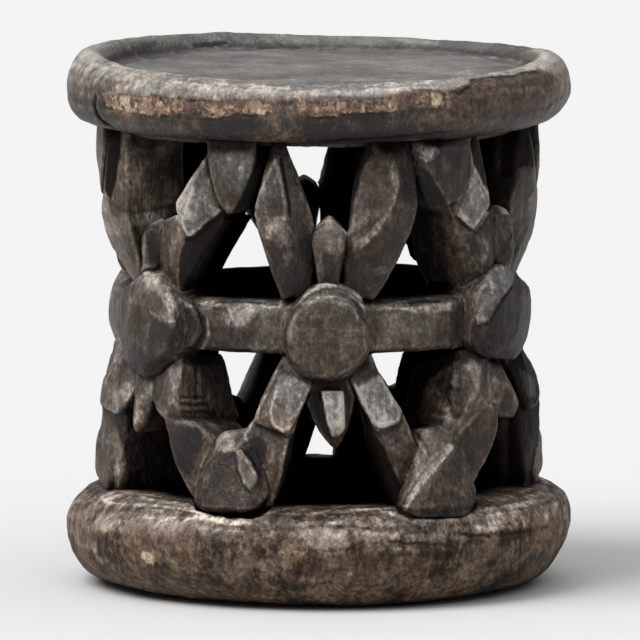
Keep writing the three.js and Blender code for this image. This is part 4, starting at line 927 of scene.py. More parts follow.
        ("tone", -0.55, 1.5, [(346, 391), (356, 402), (356, 416), (350, 438), (340, 454), (341, 442), (347, 426), (347, 405)], True),
        ("tone", 1.1, 1.0, [(322, 391), (345, 391), (347, 408), (347, 428), (341, 434), (331, 437), (327, 424), (324, 406)], True),
        ("grey", 0.4, 1.5, [(323, 396), (343, 396), (345, 414), (345, 427), (331, 429), (327, 412)], True),
        ("tone", 1.5, 1.3, [(323, 396), (343, 396), (345, 414), (345, 427), (331, 429), (327, 412)], True),
        ("line", -1.2, 1.2, [(320, 391), (322, 400), (326, 420), (331, 437)], False),
        ("line", -1.0, 1.0, [(348, 394), (349, 408), (348, 428), (342, 437)], False),
        ("line", 0.6, 1.0, [(312, 418), (320, 430), (330, 444)], False),
    ],
    "spider_front_head": [
        ("tone", -0.45, 1.5, [(323, 252), (345, 252), (345, 284), (322, 284)], True),
        ("tone", 0.55, 1.2, [(323, 230), (331, 221), (341, 228), (345, 237), (344, 250), (338, 256), (328, 254), (323, 244)], True),
        ("pink", 0.6, 1.6, [(325, 236), (342, 234), (344, 248), (336, 255), (327, 250)], True),
        ("tone", 0.0, 1.2, [(313, 228), (323, 228), (324, 254), (320, 272), (314, 262), (311, 244)], True),
        ("line", 1.0, 1.2, [(312, 229), (321, 223), (331, 219), (340, 226), (348, 233)], False),
        ("red", 1.2, 1.2, [(346, 235), (352, 238), (352, 248), (345, 255)], True),
        ("tone", -0.9, 1.2, [(346, 250), (351, 250), (346, 268), (340, 284), (343, 262)], True),
    ],
    "spider_front_upper_leg_left": [
        ("tone", -0.45, 1.5, [(276, 157), (292, 160), (312, 208), (318, 224), (312, 290), (296, 302), (280, 300), (262, 238), (286, 220)], True),
        ("tone", -1.1, 2.5, [(258, 138), (292, 138), (290, 158), (276, 160), (266, 162), (256, 158)], True),
        ("grey", 0.5, 2.0, [(274, 159), (281, 178), (284, 202), (270, 212), (255, 219), (252, 211), (258, 194), (266, 173)], True),
        ("tone", 0.35, 1.1, [(274, 159), (281, 178), (284, 202), (285, 220), (262, 238), (255, 219), (252, 211), (258, 194), (266, 173)], True),
        ("tone", 1.15, 1.1, [(266, 226), (280, 214), (285, 221), (282, 228), (270, 240), (264, 238)], True),
        ("tone", 0.75, 1.2, [(262, 176), (270, 170), (277, 184), (279, 200), (268, 206), (260, 196)], True),
        ("pink", 0.5, 3.5, [(266, 234), (284, 224), (296, 246), (284, 252), (270, 246)], True),
        ("dent", -1.8, 1.4, [(282, 163), (286, 178), (288, 196), (291, 214)], False),
        ("line", -1.8, 1.5, [(281, 160), (285, 176), (288, 196), (291, 216)], False),
        ("line", 0.8, 1.0, [(275, 160), (281, 178), (284, 202), (285, 219), (292, 234), (299, 250)], False),
        ("line", 0.5, 1.0, [(256, 206), (263, 184), (272, 165)], False),
        ("tone", 0.0, 1.2, [(291, 184), (303, 192), (314, 214), (316, 224), (309, 234), (298, 236), (292, 220)], True),
        ("line", 0.5, 1.0, [(303, 193), (312, 212), (316, 222)], False),
        ("line", 0.8, 1.0, [(308, 226), (313, 234), (312, 246)], False),
        ("tone", -1.1, 1.8, [(299, 240), (308, 238), (312, 250), (314, 284), (306, 292), (304, 266)], True),
        ("line", 0.6, 1.1, [(284, 256), (292, 254), (297, 260), (293, 268), (286, 266), (284, 258)], False),
    ],
    "spider_front_upper_leg_right": [
        ("tone", -0.45, 1.5, [(352, 250), (366, 243), (379, 229), (395, 202), (397, 181), (395, 165), (412, 152), (424, 202), (420, 218), (412, 236), (400, 264), (372, 300), (344, 284)], True),
        ("tone", -0.9, 2.5, [(366, 138), (414, 138), (414, 156), (396, 162), (380, 158), (366, 160)], True),
        ("tone", 0.14, 1.1, [(369, 162), (395, 165), (397, 181), (395, 202), (379, 229), (366, 243), (352, 250), (349, 231), (358, 205), (363, 178)], True),
        ("fold", 1.3, 9.0, [(396, 165), (397.5, 181), (395, 202), (379, 229), (366, 243), (352, 250)], False),
        ("red", 0.22, 3.0, [(398, 190), (413, 196), (419, 212), (410, 240), (396, 258), (384, 250)], True),
        ("tone", 0.6, 1.2, [(354, 248), (360, 238), (376, 224), (390, 206), (392, 210), (379, 230), (366, 244)], True),
        ("line", 0.7, 1.0, [(353, 251), (366, 244), (379, 230), (395, 203), (398, 182), (396, 166)], False),
        ("line", -0.8, 1.0, [(355, 240), (366, 234), (378, 220)], False),
        ("tone", 0.45, 1.2, [(374, 268), (386, 266), (387, 274), (375, 276)], True),
        ("tone", 0.5, 1.4, [(386, 164), (394, 164), (395, 178), (388, 180)], True),
        ("line", -0.7, 1.0, [(376, 172), (386, 174), (388, 168)], False),
        ("line", 0.5, 1.0, [(421, 204), (420, 216), (411, 238), (400, 262), (390, 276)], False),
    ],
    "spider_front_lower_leg_left": [
        ("tone", -0.15, 2.0, [(243, 425), (294, 431), (300, 400), (310, 470), (290, 506), (240, 506)], True),
        ("grey", 0.65, 3.0, [(286, 366), (309, 386), (298, 414), (276, 408), (278, 386)], True),
        ("tone", 0.85, 1.1, [(282, 364), (311, 387), (311, 392), (293, 430), (287, 435), (271, 423), (270, 409), (276, 385)], True),
        ("tone", 1.05, 1.4, [(272, 408), (284, 412), (296, 416), (292, 430), (286, 434), (272, 423)], True),
        ("tone", -0.1, 1.4, [(281, 368), (276, 386), (269, 410), (262, 416), (252, 428), (250, 424), (266, 394)], True),
        ("line", 1.0, 1.0, [(281, 364), (266, 394), (251, 426)], False),
        ("line", 0.8, 1.0, [(276, 386), (271, 408), (272, 422), (287, 435), (293, 430), (303, 412)], False),
        ("line", -1.2, 1.2, [(270, 426), (286, 438), (295, 434)], False),
        ("tone", -1.3, 1.2, [(246, 440), (258, 436), (268, 446), (262, 472), (256, 479), (248, 464), (243, 452)], True),
        ("tone", 0.25, 1.4, [(270, 436), (286, 442), (282, 470), (272, 502), (264, 500), (266, 470), (272, 448)], True),
        ("line", 0.7, 1.1, [(287, 440), (280, 470), (272, 500)], False),
        ("tone", -2.2, 1.8, [(289, 440), (298, 428), (308, 392), (316, 400), (308, 460), (296, 508), (274, 506), (282, 474)], True),
        ("line", 0.9, 1.3, [(238, 446), (244, 436), (250, 430)], False),
        ("tone", -0.8, 2.5, [(274, 356), (300, 356), (318, 378), (306, 384), (292, 376), (280, 374)], True),
    ],
    "spider_front_lower_leg_right": [
        ("grey", 0.6, 2.0, [(354, 383), (374, 365), (403, 408), (400, 419), (387, 428), (378, 431), (375, 428)], True),
        ("pink", 0.35, 3.0, [(360, 386), (376, 372), (398, 410), (394, 420), (382, 428)], True),
        ("tone", 1.5, 1.2, [(354, 383), (374, 365), (403, 408), (400, 419), (387, 428), (378, 431), (375, 428)], True),
        ("line", 0.8, 1.0, [(354, 384), (364, 405), (375, 428), (379, 431), (388, 428), (401, 418)], False),
        ("line", -1.6, 1.3, [(351, 386), (362, 410), (374, 432), (380, 435), (390, 432), (402, 423)], False),
        ("tone", -2.8, 1.6, [(352, 392), (374, 434), (384, 448), (394, 472), (404, 490), (402, 508), (366, 508), (352, 460)], True),
        ("tone", -0.25, 1.4, [(378, 436), (402, 423), (406, 416), (420, 448), (418, 462), (404, 478), (394, 470), (386, 452)], True),
        ("rust", 0.25, 4.0, [(380, 437), (402, 424), (410, 436), (400, 452), (388, 450)], True),
        ("tone", -0.8, 1.4, [(404, 446), (418, 436), (421, 448), (410, 470), (402, 476), (396, 466)], True),
        ("tone", -1.0, 2.5, [(350, 376), (366, 360), (381, 362), (386, 372), (372, 378), (358, 386)], True),
    ],
    "pendant_left_to_front": [
        ("tone", -1.5, 1.2, [(254, 156), (258, 140), (276, 140), (274, 158), (260, 190), (246, 212), (232, 219), (230, 215), (242, 200), (249, 182), (254, 164)], True),
        ("grey", 0.5, 2.0, [(208, 155), (245, 153), (255, 158), (252, 176), (243, 188), (220, 184), (211, 172)], True),
        ("tone", 0.22, 1.2, [(208, 155), (245, 153), (255, 158), (252, 176), (243, 188), (220, 184), (211, 172)], True),
        ("tone", -0.1, 1.4, [(219, 185), (242, 188), (232, 212), (228, 215), (220, 204)], True),
        ("tone", 0.6, 1.3, [(209, 156), (244, 154), (245, 162), (212, 163)], True),
        ("tone", -0.9, 1.5, [(204, 132), (256, 132), (254, 150), (232, 151), (206, 152)], True),
        ("line", 0.5, 1.0, [(255, 158), (252, 172), (243, 190), (232, 213)], False),
    ],
    "pendant_front_to_right": [
        ("tone", -0.85, 1.5, [(426, 157), (440, 150), (470, 150), (472, 170), (464, 190), (455, 204), (449, 203), (435, 178)], True),
        ("tone", -1.5, 1.1, [(408, 150), (414, 158), (425, 163), (436, 183), (448, 203), (446, 210), (436, 212), (424, 208), (414, 184)], True),
        ("tone", -0.2, 1.2, [(412, 160), (421, 158), (428, 170), (424, 178), (414, 172)], True),
        ("tone", 0.9, 1.0, [(412, 147), (436, 146), (440, 152), (437, 158), (430, 162), (424, 158)], True),
        ("grey", 0.8, 2.0, [(412, 147), (436, 146), (440, 152), (437, 158), (430, 162), (424, 158)], True),
        ("pale", 0.7, 1.3, [(421, 154), (428, 152), (430, 158), (427, 164), (423, 160)], True),
        ("line", 1.0, 1.0, [(421, 157), (429, 171), (437, 184), (448, 203)], False),
        ("red", 0.7, 2.2, [(428, 206), (440, 203), (450, 205), (460, 199), (458, 207), (444, 213), (430, 211)], True),
        ("tone", -0.8, 2.0, [(412, 132), (472, 132), (472, 146), (438, 146), (412, 144)], True),
        ("line", 0.5, 1.0, [(472, 167), (470, 178), (464, 190), (455, 204)], False),
    ],
    "spider_left_upper_leg_right": [
        ("tone", -1.75, 1.1, [(185, 236), (222, 205), (236, 210), (236, 240), (204, 304), (178, 306), (179, 270), (180, 254), (186, 240)], True),
        ("tone", 0.1, 1.1, [(158, 220), (174, 212), (184, 234), (186, 240), (180, 254), (179, 270), (179, 302), (160, 300)], True),
        ("grey", 0.6, 2.0, [(203, 156), (187, 180), (172.5, 202), (177, 218), (187.5, 236), (192, 235.5), (222, 210), (213, 206), (207, 176)], True),
        ("tone", 1.05, 0.9, [(203, 156), (187, 180), (172.5, 202), (177, 218), (187.5, 236), (192, 235.5), (222, 210), (213, 206), (212, 192), (207, 176)], True),
        ("tone", 0.75, 1.2, [(209, 176), (214, 192), (214, 206), (206, 204), (200, 196), (203, 184)], True),
        ("line", 0.9, 1.0, [(202, 157), (187, 180), (173, 202), (178, 220), (188, 236), (192, 235), (206, 222), (221, 210)], False),
        ("line", -2.0, 1.4, [(186, 240), (194, 238), (208, 225), (223, 213)], False),
        ("line", -0.9, 1.1, [(206, 157), (211, 176), (216, 194), (222, 207)], False),
        ("line", 0.5, 1.0, [(185, 242), (179, 256), (178, 300)], False),
        ("dent", -0.8, 2.0, [(206, 158), (211, 176), (216, 194)], False),
        
    ],
    "spider_left_upper_leg_left": [
        ("tone", 1.0, 3.0, [(112, 135), (176, 135), (166, 170), (176, 205), (166, 226), (140, 300), (104, 280), (100, 200)], True),
        ("tone", 1.3, 3.0, [(129.5, 136), (152, 138), (152, 160), (160, 190), (170, 206), (160, 224), (132, 226), (129.5, 200)], True),
        ("tone", 0.05, 2.5, [(118, 134), (130, 136), (130, 200), (136, 222), (106, 222), (108, 204), (117, 180)], True),
        ("tone", -2.4, 1.6, [(94, 124), (121, 126), (122, 141), (117, 180), (111, 200), (103, 190), (96, 170)], True),
        ("tone", 0.35, 1.8, [(108, 216), (134, 218), (142, 240), (146, 270), (140, 290), (118, 268)], True),
        ("tone", 0.7, 3.0, [(108, 216), (130, 218), (132, 232), (118, 236), (110, 230)], True),
        ("tone", 0.2, 1.5, [(130, 134), (156, 136), (158, 146), (146, 150), (132, 146)], True),
        ("tone", 0.9, 1.5, [(162, 178), (178, 182), (178, 196), (168, 200), (160, 192)], True),
        ("line", 0.9, 1.1, [(122, 142), (117, 180), (111, 204)], False),
        ("line", -0.9, 1.2, [(120, 240), (130, 256), (138, 280)], False),
        ("pale", 0.6, 1.6, [(116, 227), (121, 226), (122, 231), (118, 232)], True),
    ],
    "spider_left_head": [
        ("tone", -1.5, 1.8, [(144, 228), (150, 224), (160, 226), (163, 238), (158, 252), (158, 264), (150, 262), (146, 244)], True),
        ("line", 1.1, 1.5, [(144, 227), (149, 220), (156, 218), (165, 221)], False),
        ("red", 0.2, 2.0, [(152, 236), (160, 234), (160, 248), (154, 250)], True),
        ("tone", 0.2, 1.8, [(160, 222), (172, 224), (170, 262), (160, 262)], True),
    ],
    "spider_left_lower_leg_right": [
        ("tone", 0.35, 1.5, [(154, 372), (180, 366), (180, 418), (160, 418), (154, 400)], True),
        ("tone", 0.75, 2.0, [(203, 362), (222, 360), (232, 396), (246, 426), (224, 424), (210, 414)], True),
        ("tone", -0.05, 1.5, [(181, 358), (204, 358), (206, 396), (216, 416), (206, 424), (182, 416)], True),
        ("tone", -1.2, 2.0, [(180, 352), (222, 352), (221, 364), (200, 366), (181, 364)], True),
        ("tone", -0.95, 1.0, [(165, 424), (182, 423), (196, 427), (204, 442), (198, 454), (190, 476), (176, 466), (168, 446)], True),
        ("line", 0.9, 1.1, [(160, 420), (178, 418), (194, 422), (206, 436), (212, 444)], False),
        ("line", 0.5, 1.1, [(199, 366), (200, 396)], False),
        ("line", -1.0, 1.0, [(196, 366), (196, 398)], False),
        ("line", -1.1, 0.9, [(181, 397), (192, 398), (206, 397)], False),
        ("line", 0.7, 0.9, [(181, 400), (194, 400.5), (206, 400)], False),
        ("line", -1.1, 0.9, [(181, 404), (192, 405), (206, 404)], False),
        ("line", 0.7, 0.9, [(181, 408), (194, 408.5), (206, 408)], False),
        ("line", -1.0, 0.9, [(181, 412), (206, 411)], False),
        ("line", 0.9, 1.1, [(186, 414), (204, 415), (214, 418)], False),
        ("dent", -0.7, 1.2, [(181, 398), (206, 398)], False),
        ("dent", -0.7, 1.2, [(181, 405), (206, 405)], False),
        ("line", 0.6, 1.1, [(180, 368), (181, 394)], False),
        
        ("line", 0.7, 1.2, [(197, 476), (203, 462), (208, 452)], False),
    ],
    "spider_left_lower_leg_left": [
        ("tone", 0.1, 1.6, [(104, 366), (138, 372), (128, 392), (112, 420), (104, 430), (96, 400)], True),
        ("tone", 0.7, 1.1, [(138, 378), (122, 383), (112, 394), (112, 418), (124, 404), (134, 392)], True),
        ("pink", 0.6, 3.0, [(136, 379), (122, 385), (113, 396), (113, 414), (124, 402)], True),
        ("rust", 0.35, 3.0, [(118, 420), (134, 400), (150, 410), (168, 434), (174, 488), (128, 488), (124, 446)], True),
        ("grit", 0.6, 3.0, [(118, 420), (134, 400), (150, 410), (168, 434), (174, 488), (128, 488), (124, 446)], True),
        ("tone", -1.35, 1.6, [(112, 420), (124, 406), (134, 394), (150, 404), (170, 428), (176, 492), (124, 492), (128, 470), (122, 444), (116, 430)], True),
        ("tone", 0.35, 1.4, [(100, 434), (112, 430), (122, 442), (129, 472), (128, 484), (114, 490), (102, 484)], True),
        ("tone", 0.8, 1.4, [(110, 440), (120, 446), (126, 470), (116, 474), (110, 458)], True),
        ("line", -1.3, 1.2, [(103, 490), (116, 490), (130, 480)], False),
        ("tone", -1.6, 2.5, [(134, 466), (150, 462), (168, 466), (172, 484), (146, 490), (134, 484)], True),
    ],
    # painted shade: this leg is painted near black
    "spider_right_lower_leg_right": [("tone", -2.7, 3.0, [(508, 348), (546, 348), (548, 484), (508, 484)], True),
        ("tone", -0.9, 4.0, [(520, 368), (532, 376), (536, 396), (530, 398), (522, 384)], True),
        ("tone", -1.8, 5.0, [(528, 436), (542, 440), (542, 472), (528, 476), (522, 462)], True)],
    "spider_right_upper_leg_left": [
        ("tone", 0.1, 2.0, [(420, 212), (460, 214), (474, 232), (482, 300), (418, 300)], True),
        ("tone", 0.35, 3.0, [(424, 214), (450, 216), (460, 250), (462, 298), (428, 298)], True),
        ("tone", -0.55, 2.5, [(457, 222), (478, 238), (483, 262), (488, 294), (470, 298), (462, 296), (459, 250)], True),
        ("rust", 0.35, 4.0, [(424, 214), (460, 218), (480, 240), (484, 290), (430, 296)], True),
        ("grit", 0.8, 4.0, [(412, 212), (462, 214), (476, 236), (478, 296), (420, 290)], True),
        ("tone", -1.9, 1.6, [(460, 138), (502, 138), (502, 176), (496, 196), (484, 184), (475, 166), (470, 160)], True),
        ("grey", 0.7, 2.0, [(475, 168), (484, 186), (492, 200), (491, 206), (476, 231), (466, 222), (457, 215), (462, 204), (468, 190)], True),
        ("tone", 1.25, 0.9, [(475, 168), (484, 186), (492, 200), (491, 206), (476, 231), (466, 222), (457, 215), (462, 204), (468, 190)], True),
        ("line", 0.6, 0.9, [(475, 168), (484, 186), (492, 200), (491, 206), (476, 231), (457, 215)], False),
        ("line", -1.6, 1.3, [(494, 208), (478, 234), (464, 225), (454, 217)], False),
        ("tone", -0.1, 1.5, [(478, 234), (494, 210), (504, 222), (506, 262), (490, 296), (482, 262)], True),
        ("line", 0.5, 1.1, [(478, 236), (482, 262), (487, 292)], False),
    ],
    "spider_right_head": [
        ("tone", 1.3, 1.6, [(500, 204), (506, 199), (514, 199), (516, 206), (510, 214), (502, 215)], True),
        ("tone", -0.35, 1.8, [(496, 216), (518, 214), (522, 236), (514, 272), (496, 266)], True),
        ("line", -1.3, 1.2, [(515, 230), (508, 242), (503, 254)], False),
        ("line", -1.0, 1.2, [(517, 206), (518, 222), (516, 234)], False),
    ],
    "spider_right_upper_leg_right": [
        ("tone", -3.1, 5.0, [(504, 126), (546, 126), (546, 154), (538, 164), (526, 174), (514, 190), (500, 196)], True),
        ("tone", -1.3, 3.0, [(496, 176), (514, 178), (512, 196), (500, 200), (490, 206)], True),
        ("tone", 0.25, 6.0, [(519, 168), (528, 166), (534, 184), (535, 206), (524, 224), (519, 214), (517, 190)], True),
        ("tone", -0.5, 1.5, [(519, 222), (536, 210), (537, 240), (524, 268), (508, 282), (510, 250)], True),
        ("line", -1.3, 1.2, [(528, 228), (520, 242), (514, 256)], False),
        ("line", 0.6, 1.1, [(523, 226), (516, 240), (508, 256)], False),
    ],
    "spider_right_body": [
        ("rust", 0.25, 4.0, [(484, 300), (500, 300), (512, 286), (516, 270), (534, 284), (536, 330), (524, 356), (484, 356), (472, 326)], True),
        ("tone", -1.3, 1.6, [(484, 300), (500, 300), (512, 286), (516, 270), (534, 284), (536, 330), (524, 356), (484, 356), (472, 326)], True),
        ("grey", 0.8, 3.0, [(483, 281), (490, 270), (499, 265), (508, 268), (515, 272), (513, 282), (507, 291), (499, 302), (494, 311), (488, 321), (478, 324), (474, 314), (476, 300)], True),
        ("tone", 0.6, 1.0, [(483, 281), (490, 270), (499, 265), (508, 268), (515, 272), (513, 282), (507, 291), (499, 302), (494, 311), (488, 321), (478, 324), (474, 314), (476, 300)], True),
        ("tone", 0.95, 1.0, [(482, 286), (490, 280), (500, 290), (497, 302), (488, 312), (480, 308)], True),
        ("pale", 0.8, 1.3, [(475, 313), (479, 312), (480, 323), (477, 325)], True),
        ("line", -0.8, 1.0, [(514, 284), (508, 293), (500, 304), (490, 322), (478, 326)], False),
        ("tone", -1.1, 1.8, [(472, 326), (480, 330), (478, 352), (492, 360), (482, 360), (470, 348)], True),
        ("tone", -1.0, 1.6, [(482, 346), (500, 356), (520, 356), (528, 346), (524, 362), (500, 366), (484, 358)], True),
        ("tone", -0.2, 1.8, [(486, 372), (500, 370), (516, 386), (523, 400), (520, 418), (506, 416), (498, 396)], True),
        ("tone", 0.3, 1.4, [(492, 378), (500, 378), (506, 392), (502, 402), (494, 392)], True),
        ("grit", 0.6, 3.0, [(486, 372), (508, 374), (522, 400), (518, 420), (500, 410)], True),
        ("line", -1.4, 1.3, [(502, 366), (516, 380), (526, 400)], False),
    ],
    "spider_left_body": [
        ("tone", -0.38, 1.6, [(108, 296), (130, 280), (146, 272), (176, 296), (186, 330), (178, 356), (158, 376), (130, 366), (114, 330)], True),
        ("tone", 0.65, 1.1, [(145, 273), (159, 278), (168, 288), (176, 300), (180, 314), (174, 322), (160, 320), (151, 313), (148, 298)], True),
        ("tone", 0.3, 1.2, [(130, 280), (144, 274), (148, 298), (146, 306), (130, 304), (126, 292)], True),
        ("tone", 1.2, 1.1, [(145, 273), (150, 272), (160, 279), (157, 284), (148, 280)], True),
        ("line", 0.5, 1.1, [(145, 274), (148, 298), (152, 313), (161, 321), (176, 322)], False),
        ("tone", -0.45, 1.5, [(107, 296), (122, 294), (132, 306), (130, 324), (116, 330), (108, 314)], True),
        ("line", 0.5, 1.0, [(112, 298), (122, 298), (130, 306), (128, 318), (118, 322), (112, 314)], False),
        ("tone", -1.6, 2.0, [(144, 364), (160, 358), (174, 358), (178, 362), (164, 374), (150, 380), (142, 374)], True),
        ("tone", 0.7, 1.3, [(140, 380), (153, 380), (149, 398), (142, 414), (134, 428), (130, 426), (131, 410), (137, 394)], True),
        ("tone", -0.6, 1.3, [(131, 428), (140, 420), (152, 410), (154, 420), (140, 436), (132, 438)], True),
        ("fold", 1.2, 8.0, [(146, 273), (148, 298), (152, 313), (161, 321), (178, 322)], False),
    ],
    "hoop_front_to_right": [
        ("tone", -0.25, 1.5, [(374, 306), (460, 300), (476, 300), (476, 350), (374, 354)], True),
        ("tone", -0.1, 1.5, [(376, 314), (420, 312), (449, 312), (449, 346), (376, 350)], True),
        ("tone", 0.25, 1.4, [(380, 314), (436, 313), (432, 342), (420, 350), (384, 342)], True),
        ("tone", -0.8, 1.3, [(450, 304), (474, 296), (476, 342), (450, 348)], True),
        ("tone", -0.35, 1.2, [(374, 304), (404, 298), (440, 293), (474, 296), (450, 302), (404, 305)], True),
        ("tone", 1.05, 1.6, [(400, 309), (420, 306), (450, 303), (452, 310), (430, 314), (410, 312)], True),
        ("pale", 0.62, 2.2, [(406, 307), (420, 306), (432, 304), (445, 303), (450, 307), (446, 312), (430, 313), (418, 310)], True),
        ("line", 0.9, 1.1, [(376, 309), (390, 308), (406, 309), (416, 312)], False),
        ("line", -1.0, 0.9, [(410, 304), (424, 302), (440, 301)], False),
        ("line", 0.8, 1.0, [(388, 304), (410, 300), (440, 296), (462, 296)], False),
        ("dent", 0.6, 1.5, [(408, 309), (424, 308), (440, 306), (448, 307)], False),
        ("tone", 0.55, 1.3, [(418, 318), (428, 320), (428, 336), (420, 334)], True),
        ("line", 0.5, 1.0, [(376, 349), (400, 352), (420, 352), (450, 349), (474, 345)], False),
    ],
    "hoop_left_to_front": [
        ("tone", -0.05, 1.5, [(180, 300), (290, 300), (290, 356), (180, 358)], True),
        ("tone", 0.55, 1.3, [(194, 304), (216, 299), (240, 297), (270, 300), (286, 304), (284, 312), (262, 306), (240, 305), (212, 306)], True),
        ("line", -0.9, 1.0, [(196, 306), (222, 302), (250, 302), (272, 305)], False),
        ("tone", -0.5, 1.2, [(213, 308), (226, 306), (230, 312), (226, 320), (214, 320)], True),
        ("dent", -1.2, 2.0, [(213, 309), (228, 307), (227, 318), (214, 319)], True),
        ("tone", 0.7, 1.3, [(229, 310), (240, 309), (262, 308), (256, 318), (242, 326), (236, 328), (232, 320)], True),
        ("pink", 0.65, 2.6, [(229, 310), (242, 309), (258, 310), (250, 320), (236, 328)], True),
        ("line", 0.9, 1.1, [(229, 310), (233, 318), (228, 324), (234, 332)], False),
        ("tone", -0.75, 1.8, [(212, 328), (236, 326), (250, 336), (252, 350), (214, 354)], True),
        ("tone", -0.1, 1.4, [(258, 314), (283, 314), (284, 352), (262, 350), (252, 338)], True),
        ("tone", -1.0, 1.3, [(182, 308), (196, 307), (206, 318), (205, 338), (198, 350), (182, 350)], True),
        ("line", 0.9, 1.3, [(190, 306), (200, 309), (207, 319), (208.5, 336), (204, 346), (195, 354)], False),
        ("line", -1.4, 1.1, [(181, 304), (180, 328), (181, 352)], False),
        ("line", -0.9, 1.3, [(211, 322), (212, 340), (206, 352)], False),
        ("line", -1.1, 1.2, [(182, 354), (198, 356), (214, 353), (250, 350)], False),
        ("tone", -0.9, 1.5, [(208, 344), (224, 350), (222, 356), (204, 356)], True),
    ],
    "knee_block_left_to_front": [
        ("tone", -0.72, 1.5, [(196, 460), (216, 452), (240, 452), (262, 440), (272, 470), (266, 510), (196, 510)], True),
        ("tone", 0.75, 1.2, [(213, 438), (224, 432), (234, 436), (233, 448), (226, 454), (216, 450)], True),
        ("pink", 0.7, 2.6, [(213, 440), (224, 433), (233, 437), (232, 449), (222, 453)], True),
        ("tone", 0.75, 0.9, [(235, 452), (239, 449), (250, 462), (257, 478), (255, 485), (250, 489), (243, 482), (238, 468)], True),
        ("line", -1.1, 1.0, [(233, 454), (237, 470), (243, 485), (250, 492)], False),
        ("line", 1.0, 1.3, [(236, 450), (240, 442), (246, 436), (250, 430)], False),
        ("tone", -1.4, 1.2, [(243, 444), (256, 436), (268, 446), (264, 470), (259, 478), (252, 462)], True),
        ("line", 0.8, 1.1, [(214, 454), (206, 464), (200, 478)], False),
        ("rust", 0.7, 2.5, [(200, 473), (207, 472), (209, 490), (203, 491)], True),
        ("pale", 0.5, 2.0, [(202, 475), (206, 474), (208, 488), (204, 489)], True),
        ("tone", -0.7, 2.5, [(200, 502), (262, 496), (266, 512), (198, 512)], True),
    ],
    "knee_block_front_to_right": [
        ("tone", -0.45, 1.3, [(454, 446), (470, 462), (478, 480), (477, 520), (402, 520), (414, 496), (430, 474), (441, 464)], True),
        ("tone", 0.85, 1.0, [(452, 444), (454, 449), (441, 464), (430, 475), (422, 486), (414, 497), (404, 512), (398, 508), (407, 490), (418, 472), (430, 458), (444, 447)], True),
        ("line", -1.0, 1.0, [(440, 454), (428, 466), (418, 480), (408, 494)], False),
        ("line", 1.0, 1.0, [(453, 446), (440, 464), (430, 475), (422, 486), (413, 498), (404, 511)], False),
        ("tone", 0.2, 1.2, [(420, 442), (434, 440), (444, 446), (430, 457), (420, 468), (414, 462), (418, 452)], True),
        ("line", 1.2, 1.3, [(414, 434), (419, 444), (426, 454)], False),
        ("line", -1.3, 1.2, [(419, 436), (426, 446), (429, 455)], False),
        ("rust", 0.4, 3.0, [(452, 456), (469, 468), (475, 489), (474, 510), (424, 512), (440, 470)], True),
        ("red", 0.25, 3.0, [(452, 456), (469, 468), (475, 489), (474, 502), (428, 503), (440, 470)], True),
        ("tone", -1.2, 1.4, [(404, 516), (476, 513), (478, 526), (402, 526)], True),
    ],
    "spider_right_lower_leg_left": [
        ("tone", -0.45, 1.5, [(416, 362), (462, 358), (462, 412), (448, 440), (418, 436)], True),
        ("rust", 0.35, 4.0, [(420, 366), (460, 362), (462, 410), (450, 440), (422, 434)], True),
        ("grit", 1.3, 3.0, [(420, 366), (460, 362), (462, 410), (450, 440), (422, 434)], True),
        ("tone", 0.1, 1.2, [(463, 366), (472, 354), (484, 368), (485, 398), (476, 414), (462, 420), (460, 396)], True),
        ("tone", 0.7, 1.2, [(446, 437), (462, 414), (482, 396), (487, 402), (470, 424), (455, 443)], True),
        ("tone", 0.5, 1.2, [(450, 440), (462, 422), (484, 400), (486, 408), (470, 424), (456, 444)], True),
        ("tone", -0.5, 1.1, [(456, 446), (472, 424), (488, 408), (500, 404), (503, 420), (494, 446), (478, 474), (466, 460)], True),
        ("red", 0.28, 2.5, [(458, 446), (474, 424), (490, 408), (500, 410), (498, 432), (478, 468)], True),
        ("line", 0.9, 1.0, [(451, 443), (466, 426), (478, 412), (488, 404)], False),
        ("line", 0.5, 1.0, [(504, 420), (496, 446), (480, 472)], False),
        ("tone", -3.4, 2.0, [(400, 346), (468, 346), (460, 359), (444, 367), (432, 377), (424, 388), (420, 402), (419, 420), (424, 442), (400, 442)], True),
        ("line", 1.2, 1.6, [(462, 358), (468, 372), (472, 390), (466, 410)], False),
        ("line", -0.8, 1.4, [(452, 372), (446, 392), (452, 412)], False),
        ("tone", -1.2, 2.2, [(456, 348), (506, 348), (506, 376), (494, 384), (485, 380), (479, 368), (462, 363)], True),
        ("tone", 0.75, 2.5, [(462, 368), (472, 358), (481, 366), (480, 392), (470, 408), (462, 400)], True),
    ],
}
CHANNELS = ("pale", "rust", "red", "pink", "band", "grey", "shade")


def reach_of(q, pts, closed):
    """Distance to a line of points in the picture, negative inside a closed one."""
    P = np.array(pts, float)
    A, B = (P, np.roll(P, -1, 0)) if closed else (P[:-1], P[1:])
    best = np.full(len(q), 1e9)
    inside = np.zeros(len(q), bool)
    for a, b in zip(A, B):
        ab = b - a
        t = np.clip(((q - a) @ ab) / max(ab @ ab, 1e-9), 0, 1)
        d = np.hypot(*(q - a - t[:, None] * ab).T)
        best = np.minimum(best, d)
        if closed:
            cross = ((a[1] > q[:, 1]) != (b[1] > q[:, 1]))
            xs = a[0] + (q[:, 1] - a[1]) * ab[0] / (ab[1] if abs(ab[1]) > 1e-9 else 1e-9)
            inside ^= cross & (q[:, 0] < xs)
    return np.where(inside, -best, best) if closed else best


